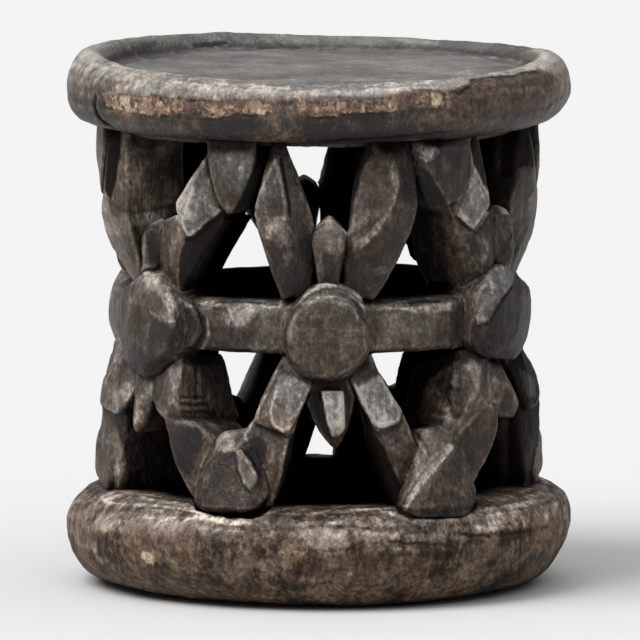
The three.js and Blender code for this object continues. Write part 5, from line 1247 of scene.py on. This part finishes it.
def marked(name, pts, nrm, near=60.0):
    """Colour channels and the relief that the listed marks give each point."""
    out = {c: np.zeros(len(pts)) for c in CHANNELS}
    relief = np.zeros(len(pts))
    if name not in MARKS:
        return out, relief
    face = -(nrm[:, 1] * math.cos(CAM_PITCH) - nrm[:, 2] * math.sin(CAM_PITCH))
    sel = np.where((face > 0.02) & ((pts[:, 1] < near) | (name == "seat")))[0]
    p = pts[sel]
    q0 = to_px(p)
    stray = np.stack([fbm(p, 8, 3, 0, 0.6), fbm(p, 7, 3, 2, 0.6)], -1)
    lines = np.zeros(len(pts))
    for channel, amount, soft, line, shut in MARKS[name]:
        q = q0 + stray * (0.9 + min(soft, 4.0) * 0.45)
        L = np.array(line, float)
        m = ((q > L.min(0) - 3 * soft - 2) & (q < L.max(0) + 3 * soft + 2)).all(1)
        if not m.any():
            continue
        d = reach_of(q[m], line, shut)
        if channel == "fold":
            w = np.clip(1 - d / soft, 0, 1)
        elif shut:
            w = 1 - ramp(d, -soft, soft)
        elif channel == "line":
            w = 1 - ramp(d, 0.35 * soft, 0.9 + soft * 1.1)
        else:
            w = 1 - ramp(d, 0.25 * soft, 0.8 + soft * 1.0)
        w = w * np.clip(face[sel][m] * 5, 0, 1)
        k = sel[m]
        if channel in ("dent", "fold"):
            relief[k] += amount * w
        elif channel == "grit":
            g = fbm(p[m], 5.0, 3, 1, 0.7)
            relief[k] += amount * w * g * 1.6
            out["shade"][k] += amount * w * g * 1.3
        elif channel == "tone":
            out["shade"][k] = out["shade"][k] * (1 - w) + amount * w
            lines[k] *= 1 - w
        elif channel == "line":
            lines[k] += amount * w * (0.55 + 0.45 * np.clip(1 + 1.6 * stray[m, 0], 0, 1.6))
        else:
            out[channel][k] = np.maximum(out[channel][k], amount * w)
    out["shade"] += np.clip(lines, -2.6, 1.6)
    return out, relief

# ------------------------------------------------------- seat and foot disc
CREST = [(-180, 399.8), (-150, 403.6), (-120, 406), (-90, 406.5), (-45, 400), (0, 395.4), (45, 398), (80, 403), (95, 403.4), (120, 400), (150, 398.8), (180, 399.8)]
WEAR = [(-180, 1), (-90, 1.4), (-70, 3), (-45, 4.4), (-20, 3.6), (0, 1.8), (15, 1.2), (35, 1.8), (55, 2.8), (80, 2.2), (110, 1), (180, 1)]
SEAT_PROFILE = [(0, 346.5), (154, 346.5), (157, 351), (166, 351), (173, 352.2), (180.3, 355.4), (185.2, 360.2), (189.2, 368), (190.5, 378), (189.5, 387), (186, 395), (180.5, 400.6), (174, 403.5), (168, 402.2), (163, 398), (158.5, 393), (152, 391), (0, 391)]
BASE_PROFILE = [(0, 0), (134, 0), (152, 0.2), (163, 2.2), (171.5, 5.4), (178, 11), (182.4, 17), (186, 24), (189.4, 34), (191.5, 46), (190.8, 54), (188.6, 60), (184.3, 66), (178.5, 70.8), (171.5, 74), (164, 76), (0, 76)]


def crest(d):
    z = np.full(len(d), CREST[0][1])
    for (a0, z0), (a1, z1) in zip(CREST[:-1], CREST[1:]):
        m = (d >= a0) & (d <= a1)
        t = (d[m] - a0) / (a1 - a0)
        z[m] = z0 + (z1 - z0) * t * t * (3 - 2 * t)
    return z


def seat_shape(r, z, a):
    d = np.degrees(a)
    f = np.where(z > SEAT_FLOOR, (crest(d) - SEAT_FLOOR) / (SEAT_CREST - SEAT_FLOOR), 1)
    lean = np.where((r > 160) & (z < 372), -0.014 * np.minimum(1, (372 - z) / 16), 0)
    return r * (1 + lean * np.sin(a)), np.where(z > SEAT_FLOOR, SEAT_FLOOR + (z - SEAT_FLOOR) * f, z)


def base_shape(r, z, a):
    lean = np.where(r < 150, 0, np.where(z > 46, 0.019 * np.minimum(1, ((z - 46) / 20) ** 2), -0.0094 * np.clip((46 - z) / 23, 0, 1)))
    lift = np.interp(np.degrees(a), [w[0] for w in WEAR], [w[1] for w in WEAR])
    w = np.where((r < 140) | (z > 46), 0, np.minimum(1, (r - 134) / 34) * np.minimum(1, (46 - z) / 29))
    return r * (1 + lean * np.sin(a)), z + lift * w


def outline(profile, fine, step):
    """The profile as a smooth line of rings, closer together where it is curved."""
    P = np.array(profile, float)
    seg = np.hypot(*np.diff(P, axis=0).T)
    s = np.concatenate([[0], np.cumsum(seg)])
    dense = np.arange(0, s[-1], 0.4)
    R, Z = np.interp(dense, s, P[:, 0]), np.interp(dense, s, P[:, 1])
    k = 19
    pad = lambda v: np.concatenate([np.full(k, v[0]), v, np.full(k, v[-1])])
    ker = np.hanning(k + 2)[1:-1]
    ker /= ker.sum()
    Rs = np.convolve(pad(R), ker, "same")[k:-k]
    Zs = np.convolve(pad(Z), ker, "same")[k:-k]
    out = [0]
    pos = 0.0
    while True:
        r = np.interp(pos, dense, Rs)
        pos += step if r > fine else step * 1.6 if r > fine * 0.5 else step * 3
        if pos >= dense[-1] - 1:
            break
        out.append(pos)
    out = np.array(out)
    return np.interp(out, dense, Rs), np.interp(out, dense, Zs)


def disc(name, profile, shape, n, step, fine, scoop, room, grain):
    R, Z = outline(profile, fine, step)
    keep = R > 4
    R, Z = R[keep], Z[keep]
    counts = [n if r > fine else n // 2 if r > fine / 2 else n // 4 if r > fine / 4 else n // 8 if r > fine / 8 else n // 16 for r in R]
    pts, start = [], []
    total = 0
    for r, z, c in zip(R, Z, counts):
        a = np.arange(c) / c * 2 * np.pi - np.pi
        rr, zz = shape(np.full(c, r), np.full(c, z), a)
        pts.append(np.stack([rr * np.sin(a), -rr * np.cos(a), zz], -1))
        start.append(total)
        total += c
    faces = []
    for i in range(len(R) - 1):
        c0, c1, s0, s1 = counts[i], counts[i + 1], start[i], start[i + 1]
        if c0 == c1:
            j = np.arange(c0)
            k = (j + 1) % c0
            faces += [np.stack([s0 + j, s0 + k, s1 + j], -1), np.stack([s0 + k, s1 + k, s1 + j], -1)]
        else:
            if c0 > c1:
                big, sb, small, ss, flip = c0, s0, c1, s1, False
            else:
                big, sb, small, ss, flip = c1, s1, c0, s0, True
            j = np.arange(small)
            k = (j + 1) % small
            o0, o1, o2 = sb + 2 * j, sb + 2 * j + 1, sb + (2 * j + 2) % big
            t = [np.stack([o0, o1, ss + j], -1), np.stack([o1, ss + k, ss + j], -1), np.stack([o1, o2, ss + k], -1)]
            faces += [q[:, ::-1] for q in t] if flip else t
    for ring, sgn in ((0, 1), (len(R) - 1, -1)):
        pts.append(np.array([[0, 0, pts[ring][0, 2]]]))
        j = np.arange(counts[ring])
        k = (j + 1) % counts[ring]
        t = np.stack([start[ring] + k, start[ring] + j, np.full(len(j), total)], -1)
        faces.append(t if sgn > 0 else t[:, ::-1])
        total += 1
    pts = np.concatenate(pts)
    faces = closed(pts, np.concatenate(faces))
    edges = edges_of(faces)
    base = pts.copy()
    rr = np.hypot(pts[:, 0], pts[:, 1])
    pts = pts + np.stack([noise(base, 60, 0), noise(base, 60, 1), noise(base, 48, 2) * ramp(rr, 90, 150)], -1) * 0.7
    nrm = normals_of(pts, faces)
    a = np.arctan2(base[:, 0], -base[:, 1])
    q = np.stack([a * 190 / (scoop[0] * 1.25), rr / scoop[0], base[:, 2] / scoop[0]], -1) + fbm(base, 26, 2, 3)[:, None] * 0.3
    f1, _, _ = cells(q + 40)
    g1, _, _ = cells(q * 2.3 + 7)
    side = ramp(rr, 120, 158)
    disp = scoop[1] * side * ((np.minimum(f1 * f1, 0.9) * 1.7 - 0.55) + 0.35 * (np.minimum(g1 * g1, 0.9) * 1.6 - 0.5))
    disp += 0.5 * fbm(base, 24, 3, 1) * (0.25 + 0.75 * side) + 0.16 * fbm(base, 5, 2, 2) * (0.4 + 0.6 * side)
    disp += grain * side * fbm(base * [1, 1, 0.3], 4.2, 2, 4) * ramp(np.abs(nrm[:, 2]), 0.75, 0.3)
    pit = ramp(noise(base, 4.4, 5), 0.6, 0.85) * side
    disp -= 0.35 * pit * ramp(fbm(base, 30, 1, 2), -0.3, 0.5)
    colour, relief = marked(name, pts, nrm)
    pts = pts + nrm * (disp + relief)[:, None]
    lim = room
    pts[:, 0] = np.clip(pts[:, 0], -lim, lim)
    pts[:, 1] = np.clip(pts[:, 1], -lim, lim)
    nrm = normals_of(pts, faces)
    fine_c = curvature(pts, faces, edges, 3, nrm)
    broad = curvature(pts, faces, edges, 16, nrm)
    occ = 0
    wp = pts.astype(np.float32)
    # painted shade where the drum closes in over the seat's underside and the foot disc's top
    near_drum = (np.abs(wp[:, 2] - (SEAT_UNDER if name == "seat" else BASE_TOP)) < 14) & (rr > 70)
    occ = np.zeros(len(pts))
    idx = np.where(near_drum)[0]
    if len(idx):
        for step_, wgt in ((5.0, 0.4), (16.0, 0.6)):
            qd = wp[idx] + nrm[idx].astype(np.float32) * np.float32(step_)
            d = np.full(len(idx), 40.0)
            for o in ELEMENTS:
                m = ((qd > o.lo - 18) & (qd < o.hi + 18)).all(1)
                if m.any():
                    d[m] = np.minimum(d[m], o.raw(qd[m]))
            occ[idx] += wgt * np.clip(1 - d / step_, 0, 1.2)
    # painted shade: faces looking down near the drum are darker, and the middle inside the drum is painted near black
    under = np.clip(-nrm[:, 2], 0, 1) * ramp(172 - rr, 0, 26)
    middle = ramp(150 - rr, 0, 20) * ((wp[:, 2] < 360) if name == "seat" else (wp[:, 2] > 60))
    attrs = {"edge": np.clip(fine_c * 2.6 + broad * 0.5, 0, 1), "pit": np.clip(-fine_c * 2.6 - broad * 0.6, 0, 1), "closed": np.clip(occ + 0.4 * under, 0, 1), "crease": np.zeros(len(pts)), "inner": middle.astype(float), "tone": noise(base, 28, 3) * 0.8, "up": np.clip(nrm[:, 2], 0, 1) * (ramp(rr, 150, 160) if name == "seat" else 1), "under": np.clip(-nrm[:, 2], 0, 1), "cool": np.clip(nrm[:, 2] * 1.3, 0, 1) * (0.58 + 0.20 * ramp(158 - rr, 0, 8) if name == "seat" else 0.30)}
    if name == "seat":
        attrs["edge"] *= ramp(wp[:, 2], 358, 374)
        attrs["calm"] = np.clip(nrm[:, 2] * 1.5, 0, 1) * (0.28 + 0.47 * ramp(pts[:, 1], -130, -40))
    attrs["cool"] = np.maximum(attrs["cool"], np.clip(colour.pop("grey"), 0, 1))
    attrs.update(colour)
    return pts, faces, attrs

# ----------------------------------------------------------------- materials
def shader(name, stops, warm, cool, offset, contrast, rough, seed_shift, freckle=1.0, blotch=(1.0, 0.45), gloss=0.36):
    """Old dark wood: grain up the log, worn ridges, dust, chips and stains, with painted shade in the hollows, on the
    undersides and inside the drum, and a painted sheen on what looks up.
    """
    m = bpy.data.materials.new(name)
    m.use_nodes = True
    nt = m.node_tree
    nt.nodes.clear()
    N, Lk = nt.nodes, nt.links
    place = [0]

    def node(kind, **kw):
        n = N.new(kind)
        n.location = (place[0] // 9 * 190, -(place[0] % 9) * 210)
        place[0] += 1
        for k, v in kw.items():
            setattr(n, k, v)
        return n

    def put(sock, v):
        if isinstance(v, bpy.types.NodeSocket):
            Lk.new(v, sock)
        else:
            sock.default_value = v

    def math_(op, a, b=0.0):
        n = node("ShaderNodeMath", operation=op)
        put(n.inputs[0], a)
        put(n.inputs[1], b)
        return n.outputs[0]

    def total(start, *terms):
        """start plus every (value, middle, weight)."""
        v = start
        for x, middle, weight in terms:
            n = node("ShaderNodeMath", operation="MULTIPLY_ADD")
            put(n.inputs[0], x)
            n.inputs[1].default_value = weight
            n.inputs[2].default_value = -middle * weight
            v = math_("ADD", n.outputs[0], v)
        return v

    def step_(v, lo, hi):
        n = node("ShaderNodeMapRange", interpolation_type="SMOOTHSTEP")
        put(n.inputs["Value"], v)
        n.inputs["From Min"].default_value = lo
        n.inputs["From Max"].default_value = hi
        return n.outputs["Result"]

    def mix(f, a, b, blend="MIX"):
        n = node("ShaderNodeMix", data_type="RGBA", blend_type=blend)
        put(n.inputs["Factor"], f)
        put(n.inputs["A"], a)
        put(n.inputs["B"], b)
        return n.outputs["Result"]

    def attr(k):
        return node("ShaderNodeAttribute", attribute_name=k, attribute_type="GEOMETRY").outputs["Fac"]

    tc = node("ShaderNodeTexCoord").outputs["Object"]

    def tex(scale, detail=3.0, stretch=(1, 1, 1), rough_=0.55, dist=0.0, voronoi=False):
        mp = node("ShaderNodeMapping")
        put(mp.inputs["Vector"], tc)
        mp.inputs["Scale"].default_value = tuple(scale * s for s in stretch)
        mp.inputs["Location"].default_value = (seed_shift, seed_shift * 0.7, seed_shift * 1.3)
        if voronoi:
            n = node("ShaderNodeTexVoronoi", feature="F1")
            n.inputs["Scale"].default_value = 1.0
            put(n.inputs["Vector"], mp.outputs[0])
            return n.outputs["Distance"]
        n = node("ShaderNodeTexNoise")
        n.inputs["Scale"].default_value = 1.0
        n.inputs["Detail"].default_value = detail
        n.inputs["Roughness"].default_value = rough_
        n.inputs["Distortion"].default_value = dist
        put(n.inputs["Vector"], mp.outputs[0])
        return n.outputs["Fac"]

    rgb = lambda c: (*c, 1.0)
    grain = tex(150, 4, (1, 1, 0.16), 0.6, 0.6)
    fibre = tex(560, 2, (1, 1, 0.08), 0.6)
    mottle = tex(48, 6, (1, 1, 0.75), 0.68)
    blot = tex(120, 5, (1, 1, 0.8), 0.7)
    patch = tex(17, 3, (1, 1, 0.8), 0.5)
    worn = step_(tex(62, 7, (1, 1, 0.6), 0.66, 0.5), 0.485, 0.57)
    hue = tex(24, 3, (1, 1, 0.7), 0.5)
    speck = tex(330, 3, (1, 1, 0.8), 0.7)
    tiny = tex(1000, 2, (1, 1, 1), 0.6)
    pores = tex(300, stretch=(1, 1, 0.35), voronoi=True)

    # how light the wood is: patina, grain and worn ridges; the painted facet tones, which are painted light and shade;
    # faces looking up painted a little lighter and faces looking down darker; darker in pits; painted shade in the
    # creases and near black inside the drum
    edge = step_(total(attr("edge"), (blot, 0.5, 0.8), (speck, 0.5, 0.5)), 0.20, 0.72)
    rough_part = total(0.0, (mottle, 0.5, 0.34 * contrast), (blot, 0.5, 0.46 * contrast), (patch, 0.5, 0.24 * contrast), (grain, 0.5, 0.32 * contrast), (fibre, 0.5, 0.2), (speck, 0.5, 0.62 * freckle), (worn, 0.4, 0.055 * contrast))
    rough_part = math_("MULTIPLY", rough_part, math_("SUBTRACT", 1.0, math_("MULTIPLY", attr("calm"), 0.62)))
    lightness = total(math_("ADD", offset, rough_part), (attr("tone"), 0.0, 0.12), (attr("shade"), 0.0, 0.27), (edge, 0.0, 0.17), (attr("up"), 0.0, 0.06), (attr("under"), 0.0, -0.18),
                      (attr("pit"), 0.0, -0.30), (attr("crease"), 0.0, -0.14), (attr("inner"), 0.0, -0.55))
    ramp_ = node("ShaderNodeValToRGB")
    el = ramp_.color_ramp.elements
    el[0].position, el[0].color = stops[0][0], rgb(stops[0][1])
    el[1].position, el[1].color = stops[-1][0], rgb(stops[-1][1])
    for p_, c_ in stops[1:-1]:
        q_ = el.new(p_)
        q_.color = rgb(c_)
    put(ramp_.inputs["Fac"], lightness)
    base = ramp_.outputs["Color"]
    base = mix(step_(hue, 0.40, 0.62), mix(1.0, base, rgb(warm), "MULTIPLY"), mix(1.0, base, rgb(cool), "MULTIPLY"))

    # dust and sheen on what looks up is greyer
    bw = node("ShaderNodeRGBToBW")
    put(bw.inputs[0], base)
    grey = node("ShaderNodeCombineColor")
    for s_, k_ in zip(grey.inputs, (1.0, 1.0, 0.955)):
        Lk.new(math_("MULTIPLY", bw.outputs[0], k_), s_)
    base = mix(attr("cool"), base, grey.outputs[0])

    fleck = tex(235, 4, (1, 1, 0.8), 0.68, 0.4)
    fl = step_(fleck, 0.36, 0.66)

    def stain(k, low, high, lo, hi, amount, rag):
        """A stain whose colour runs from low to high in small flecks."""
        nonlocal base
        v = total(attr(k), (mottle, 0.5, 0.6 * rag), (blot, 0.5, 0.7 * rag), (grain, 0.5, 0.4 * rag), (speck, 0.5, 0.5 * rag))
        v = math_("MULTIPLY", step_(v, lo, hi), step_(attr(k), 0.02, 0.16))
        base = mix(math_("MULTIPLY", v, amount), base, mix(fl, rgb(low), rgb(high)))

    stain("pink", (0.140, 0.103, 0.085), (0.400, 0.325, 0.275), 0.25, 1.05, 0.75, 1.5)
    stain("rust", (0.046, 0.028, 0.018), (0.205, 0.138, 0.090), 0.20, 0.95, 0.80, 1.4)
    # the chipped band of the rim: bare wood in cream, orange and red-brown flakes, darkened where the painted shade is
    # deep
    flake = tex(150, 4, (1, 1, 0.8), 0.6, 0.8)
    chip = tex(260, 3, (1, 1, 1), 0.6, 0.5)
    bare = mix(step_(flake, 0.43, 0.56), rgb((0.088, 0.044, 0.030)), rgb((0.262, 0.165, 0.112)))
    bare = mix(step_(chip, 0.56, 0.68), bare, rgb((0.470, 0.350, 0.235)))
    bare = mix(step_(chip, 0.43, 0.34), bare, rgb((0.030, 0.018, 0.012)))
    bare = mix(math_("MULTIPLY", step_(math_("MULTIPLY", attr("shade"), -1.0), 1.15, 2.0), 0.8), bare, rgb((0.045, 0.023, 0.016)))
    v = total(attr("band"), (mottle, 0.5, 1.6), (blot, 0.5, 2.2), (speck, 0.5, 1.2))
    v = math_("MULTIPLY", step_(v, 0.36, 0.74), step_(attr("band"), 0.02, 0.16))
    base = mix(math_("MULTIPLY", v, 0.84), base, bare)
    stain("red", (0.042, 0.020, 0.014), (0.118, 0.068, 0.052), 0.25, 0.95, 0.78, 1.2)
    stain("pale", (0.30, 0.225, 0.145), (0.62, 0.515, 0.375), 0.38, 0.92, 0.88, 1.9)

    # uneven wear over wood and stains alike; where the painted shade is dark, the stains are darkened too
    m_ = total(blotch[0], (patch, 0.5, 1.5 * blotch[1]), (mottle, 0.5, 2.2 * blotch[1]), (blot, 0.5, 1.8 * blotch[1]))
    m_ = math_("MAXIMUM", math_("MINIMUM", m_, 1.8), 0.4)
    m_ = math_("ADD", math_("MULTIPLY", m_, math_("SUBTRACT", 1.0, attr("calm"))), attr("calm"))
    m_ = math_("MULTIPLY", m_, math_("SUBTRACT", 1.0, math_("MULTIPLY", step_(math_("MULTIPLY", attr("shade"), -1.0), 0.35, 1.7), 0.36)))
    comb = node("ShaderNodeCombineColor")
    for s in comb.inputs:
        Lk.new(m_, s)
    base = mix(1.0, base, comb.outputs[0], "MULTIPLY")
    # painted shade: where the painted tone is very dark, in undercuts and on shaded facets, the colour goes near black
    base = mix(math_("MULTIPLY", step_(math_("MULTIPLY", attr("shade"), -1.0), 1.35, 2.8), 0.93), base, rgb((0.0075, 0.0050, 0.0034)))

    # painted shade: darker where closed in and near black inside the drum; the same factor dims the reflection
    shade = math_("SUBTRACT", 1.0, math_("MULTIPLY", step_(attr("closed"), 0.15, 1.0), 0.66))
    shade = math_("MULTIPLY", shade, math_("SUBTRACT", 1.0, math_("MULTIPLY", step_(attr("inner"), 0.0, 1.0), 0.985)))
    comb = node("ShaderNodeCombineColor")
    for s in comb.inputs:
        Lk.new(shade, s)
    base = mix(1.0, base, comb.outputs[0], "MULTIPLY")

    r = total(rough, (mottle, 0.5, 0.30), (speck, 0.5, 0.40), (attr("pit"), 0.0, 0.18), (attr("inner"), 0.0, 0.35), (edge, 0.0, -0.05))
    r = math_("MAXIMUM", math_("MINIMUM", r, 0.95), 0.27)

    # relief too fine for the mesh: fibres, pores, wear
    h = total(0.0, (fibre, 0.5, 0.35), (speck, 0.5, 0.8), (tiny, 0.5, 0.30), (grain, 0.5, 0.7), (blot, 0.5, 0.8), (step_(pores, 0.05, 0.33), 0.5, 0.35))
    bump = node("ShaderNodeBump")
    bump.inputs["Strength"].default_value = 0.8
    bump.inputs["Distance"].default_value = 0.0014
    put(bump.inputs["Height"], h)

    bs = node("ShaderNodeBsdfPrincipled")
    put(bs.inputs["Base Color"], base)
    put(bs.inputs["Roughness"], r)
    bs.inputs["Metallic"].default_value = 0.0
    # the reflection is dimmed further where the painted shade is very dark
    dull = math_("SUBTRACT", 1.0, math_("MULTIPLY", step_(math_("MULTIPLY", attr("shade"), -1.0), 0.9, 2.4), 0.85))
    put(bs.inputs["Specular IOR Level"], math_("MULTIPLY", math_("MULTIPLY", shade, dull), gloss))
    put(bs.inputs["Normal"], bump.outputs["Normal"])
    out = node("ShaderNodeOutputMaterial")
    Lk.new(bs.outputs[0], out.inputs["Surface"])
    return m


WOOD = [(0.08, (0.0066, 0.0046, 0.0034)), (0.28, (0.0250, 0.0172, 0.0118)), (0.45, (0.0530, 0.0408, 0.0310)), (0.60, (0.090, 0.077, 0.066)), (0.78, (0.172, 0.156, 0.140)), (1.0, (0.38, 0.355, 0.325))]
RIM = [(0.08, (0.0085, 0.0054, 0.0035)), (0.28, (0.0345, 0.0222, 0.0136)), (0.45, (0.0735, 0.0535, 0.0385)), (0.60, (0.122, 0.102, 0.086)), (0.78, (0.215, 0.193, 0.174)), (1.0, (0.46, 0.425, 0.385))]
SEAT_MAT = shader("seat_wood", RIM, (1.10, 0.97, 0.87), (1.01, 0.99, 0.98), 0.498, 0.95, 0.50, 3.1, 1.15, (1.0, 0.5), 0.42)
CARVED_MAT = shader("carved_wood", WOOD, (1.12, 0.97, 0.85), (1.01, 0.99, 0.97), 0.432, 1.25, 0.50, 7.7, 1.2)
BASE_MAT = shader("base_wood", RIM, (1.15, 0.95, 0.80), (1.04, 0.98, 0.92), 0.460, 1.4, 0.62, 12.9, 1.4, (1.0, 1.0), 0.20)


def pitch(e):
    """Mesh size: finer where the front view sees the element."""
    seen = (e.lo + e.hi)[1] / 2 < 25
    return (1.5) if seen else (3.0)


with ThreadPoolExecutor(4) as pool:
    carved = list(pool.map(lambda e: carve(e, pitch(e)), ELEMENTS))
for e, (pts, quads, attrs) in zip(ELEMENTS, carved):
    nrm = normals_of(pts, quads)
    colour, relief = marked(e.name, pts, nrm)
    pts = pts + nrm * relief[:, None]
    attrs["cool"] = np.maximum(attrs["cool"], np.clip(colour.pop("grey"), 0, 1))
    attrs.update(colour)
    # painted shade: the pieces on the right, away from the key light, are darker
    if not e.name.endswith("body"):
        attrs["tone"] = attrs["tone"] - 0.75 * ramp(pts[:, 0], 132, 158)
    piece("look_" + e.name, pts, quads, attrs, CARVED_MAT, [e.name])

pts, tris, attrs = disc("seat", SEAT_PROFILE, seat_shape, 640, 1.9, 150, (15, 0.45), 190.9, 0.16)
pts[:, 2] = np.minimum(pts[:, 2], CAD_BOX[1][2] * 1000 - 0.05)
# painted light and shade on the seat: the top of the front rim lighter, its lower part darker, the floor of the dish
# lighter as a painted sheen. The inner side of the far rim is darker.
front_rim = ramp(np.hypot(pts[:, 0], pts[:, 1]), 150, 165)
attrs["tone"] = attrs["tone"] + front_rim * (0.9 * ramp(pts[:, 2], 382, 399) - 2.15 * ramp(382 - pts[:, 2], 0, 8))
radius = np.hypot(pts[:, 0], pts[:, 1])
attrs["tone"] += 0.78 * ramp(158 - radius, 0, 6) * (pts[:, 2] > 380) - 1.2 * ramp(radius, 156, 162) * ramp(pts[:, 1], -20, 90)
attrs["edge"] *= 1 - 0.6 * ramp(pts[:, 1], -20, 90)
lower = front_rim * ramp(384 - pts[:, 2], 0, 10)
attrs["rust"] = np.maximum(attrs["rust"], lower * (0.34 + 0.5 * noise(pts, 24, 7)))
attrs["pink"] = np.maximum(attrs["pink"], lower * ramp(noise(pts, 18, 8), 0.1, 0.7) * 0.35)
# painted sheen: the back of the seat above the floor is greyed
attrs["cool"] = np.maximum(attrs["cool"], 0.8 * ramp(pts[:, 1], -20, 90) * (pts[:, 2] > 380))
piece("look_seat", pts, tris, attrs, SEAT_MAT, ["seat"])
pts, tris, attrs = disc("base", BASE_PROFILE, base_shape, 640, 1.9, 150, (19, 0.6), 191.4, 0.20)
pts[:, 2] = np.maximum(pts[:, 2], 0.0)
# painted shade: the foot disc is darker towards the bottom, under its bulge
low = ramp(38 - pts[:, 2], 0, 22)
shelf = ramp(pts[:, 2], 58, 69)
rings_ = noise(pts * [0.10, 0.10, 0] + np.stack([0 * low, 0 * low, pts[:, 2] - 0.8 * np.hypot(pts[:, 0], pts[:, 1])], -1), 3.6, 1)
upright = noise(pts * [1, 1, 0.12], 3.0, 4)
side = 1 - shelf
attrs["tone"] = attrs["tone"] * 0.8 - 1.25 * low + 2.2 * shelf * rings_ - 0.5 * shelf + 0.7 * side * ramp(60 - pts[:, 2], 0, 22) * upright + 1.3 * side * fbm(pts, 16, 3, 2, 0.6)
attrs["rust"] = np.maximum(attrs["rust"], side * (0.45 + 0.40 * low + 0.7 * noise(pts, 26, 3)) * 0.9)
attrs["red"] = np.maximum(attrs["red"], side * ramp(noise(pts, 30, 6), 0.25, 0.8) * 0.5)
attrs["pink"] = np.maximum(attrs["pink"], side * (1 - low) * (0.12 + 0.95 * noise(pts, 21, 5)) * 0.8)
attrs["cool"] = np.maximum(attrs["cool"], side * (1 - low) * ramp(noise(pts, 24, 1), 0.1, 0.6) * 0.2)
piece("look_base", pts, tris, attrs, BASE_MAT, ["base"])

# ------------------------------------------------------ floor, light, camera
bpy.ops.mesh.primitive_plane_add(size=80, location=(0, 0, 0))
floor = bpy.context.object
floor.name = "floor"
fm = bpy.data.materials.new("floor_pale")
fm.use_nodes = True
fb = fm.node_tree.nodes["Principled BSDF"]
fb.inputs["Base Color"].default_value = (0.50, 0.50, 0.50, 1)
fb.inputs["Roughness"].default_value = 0.95
floor.data.materials.append(fm)

world = bpy.data.worlds.new("studio")
bpy.context.scene.world = world
world.use_nodes = True
bg = world.node_tree.nodes["Background"]
bg.inputs["Color"].default_value = (0.98, 0.985, 0.985, 1)
bg.inputs["Strength"].default_value = 0.22


def sun(name, direction, strength, angle, colour=(1, 1, 1)):
    d = bpy.data.lights.new(name, "SUN")
    d.energy = strength
    d.angle = math.radians(angle)
    d.color = colour
    o = bpy.data.objects.new(name, d)
    o.rotation_euler = Vector(direction).to_track_quat("-Z", "Y").to_euler()
    bpy.context.scene.collection.objects.link(o)
    return o


sun("key", (0.62, 0.38, -1.0), 3.1, 40)
sun("sky", (0.0, 0.15, -1.0), 2.5, 110)

cam_d = bpy.data.cameras.new("camera")
cam_d.sensor_width = 36
cam_d.lens = 746.55
cam_d.clip_end = 100
cam = bpy.data.objects.new("camera", cam_d)
cam.location = (0.00091, -10.0, 1.358)
cam.rotation_euler = (math.radians(90 - 6.611), 0, 0)
bpy.context.scene.collection.objects.link(cam)
bpy.context.scene.camera = cam
bpy.context.scene.view_settings.view_transform = "Standard"
bpy.context.scene.view_settings.look = "None"
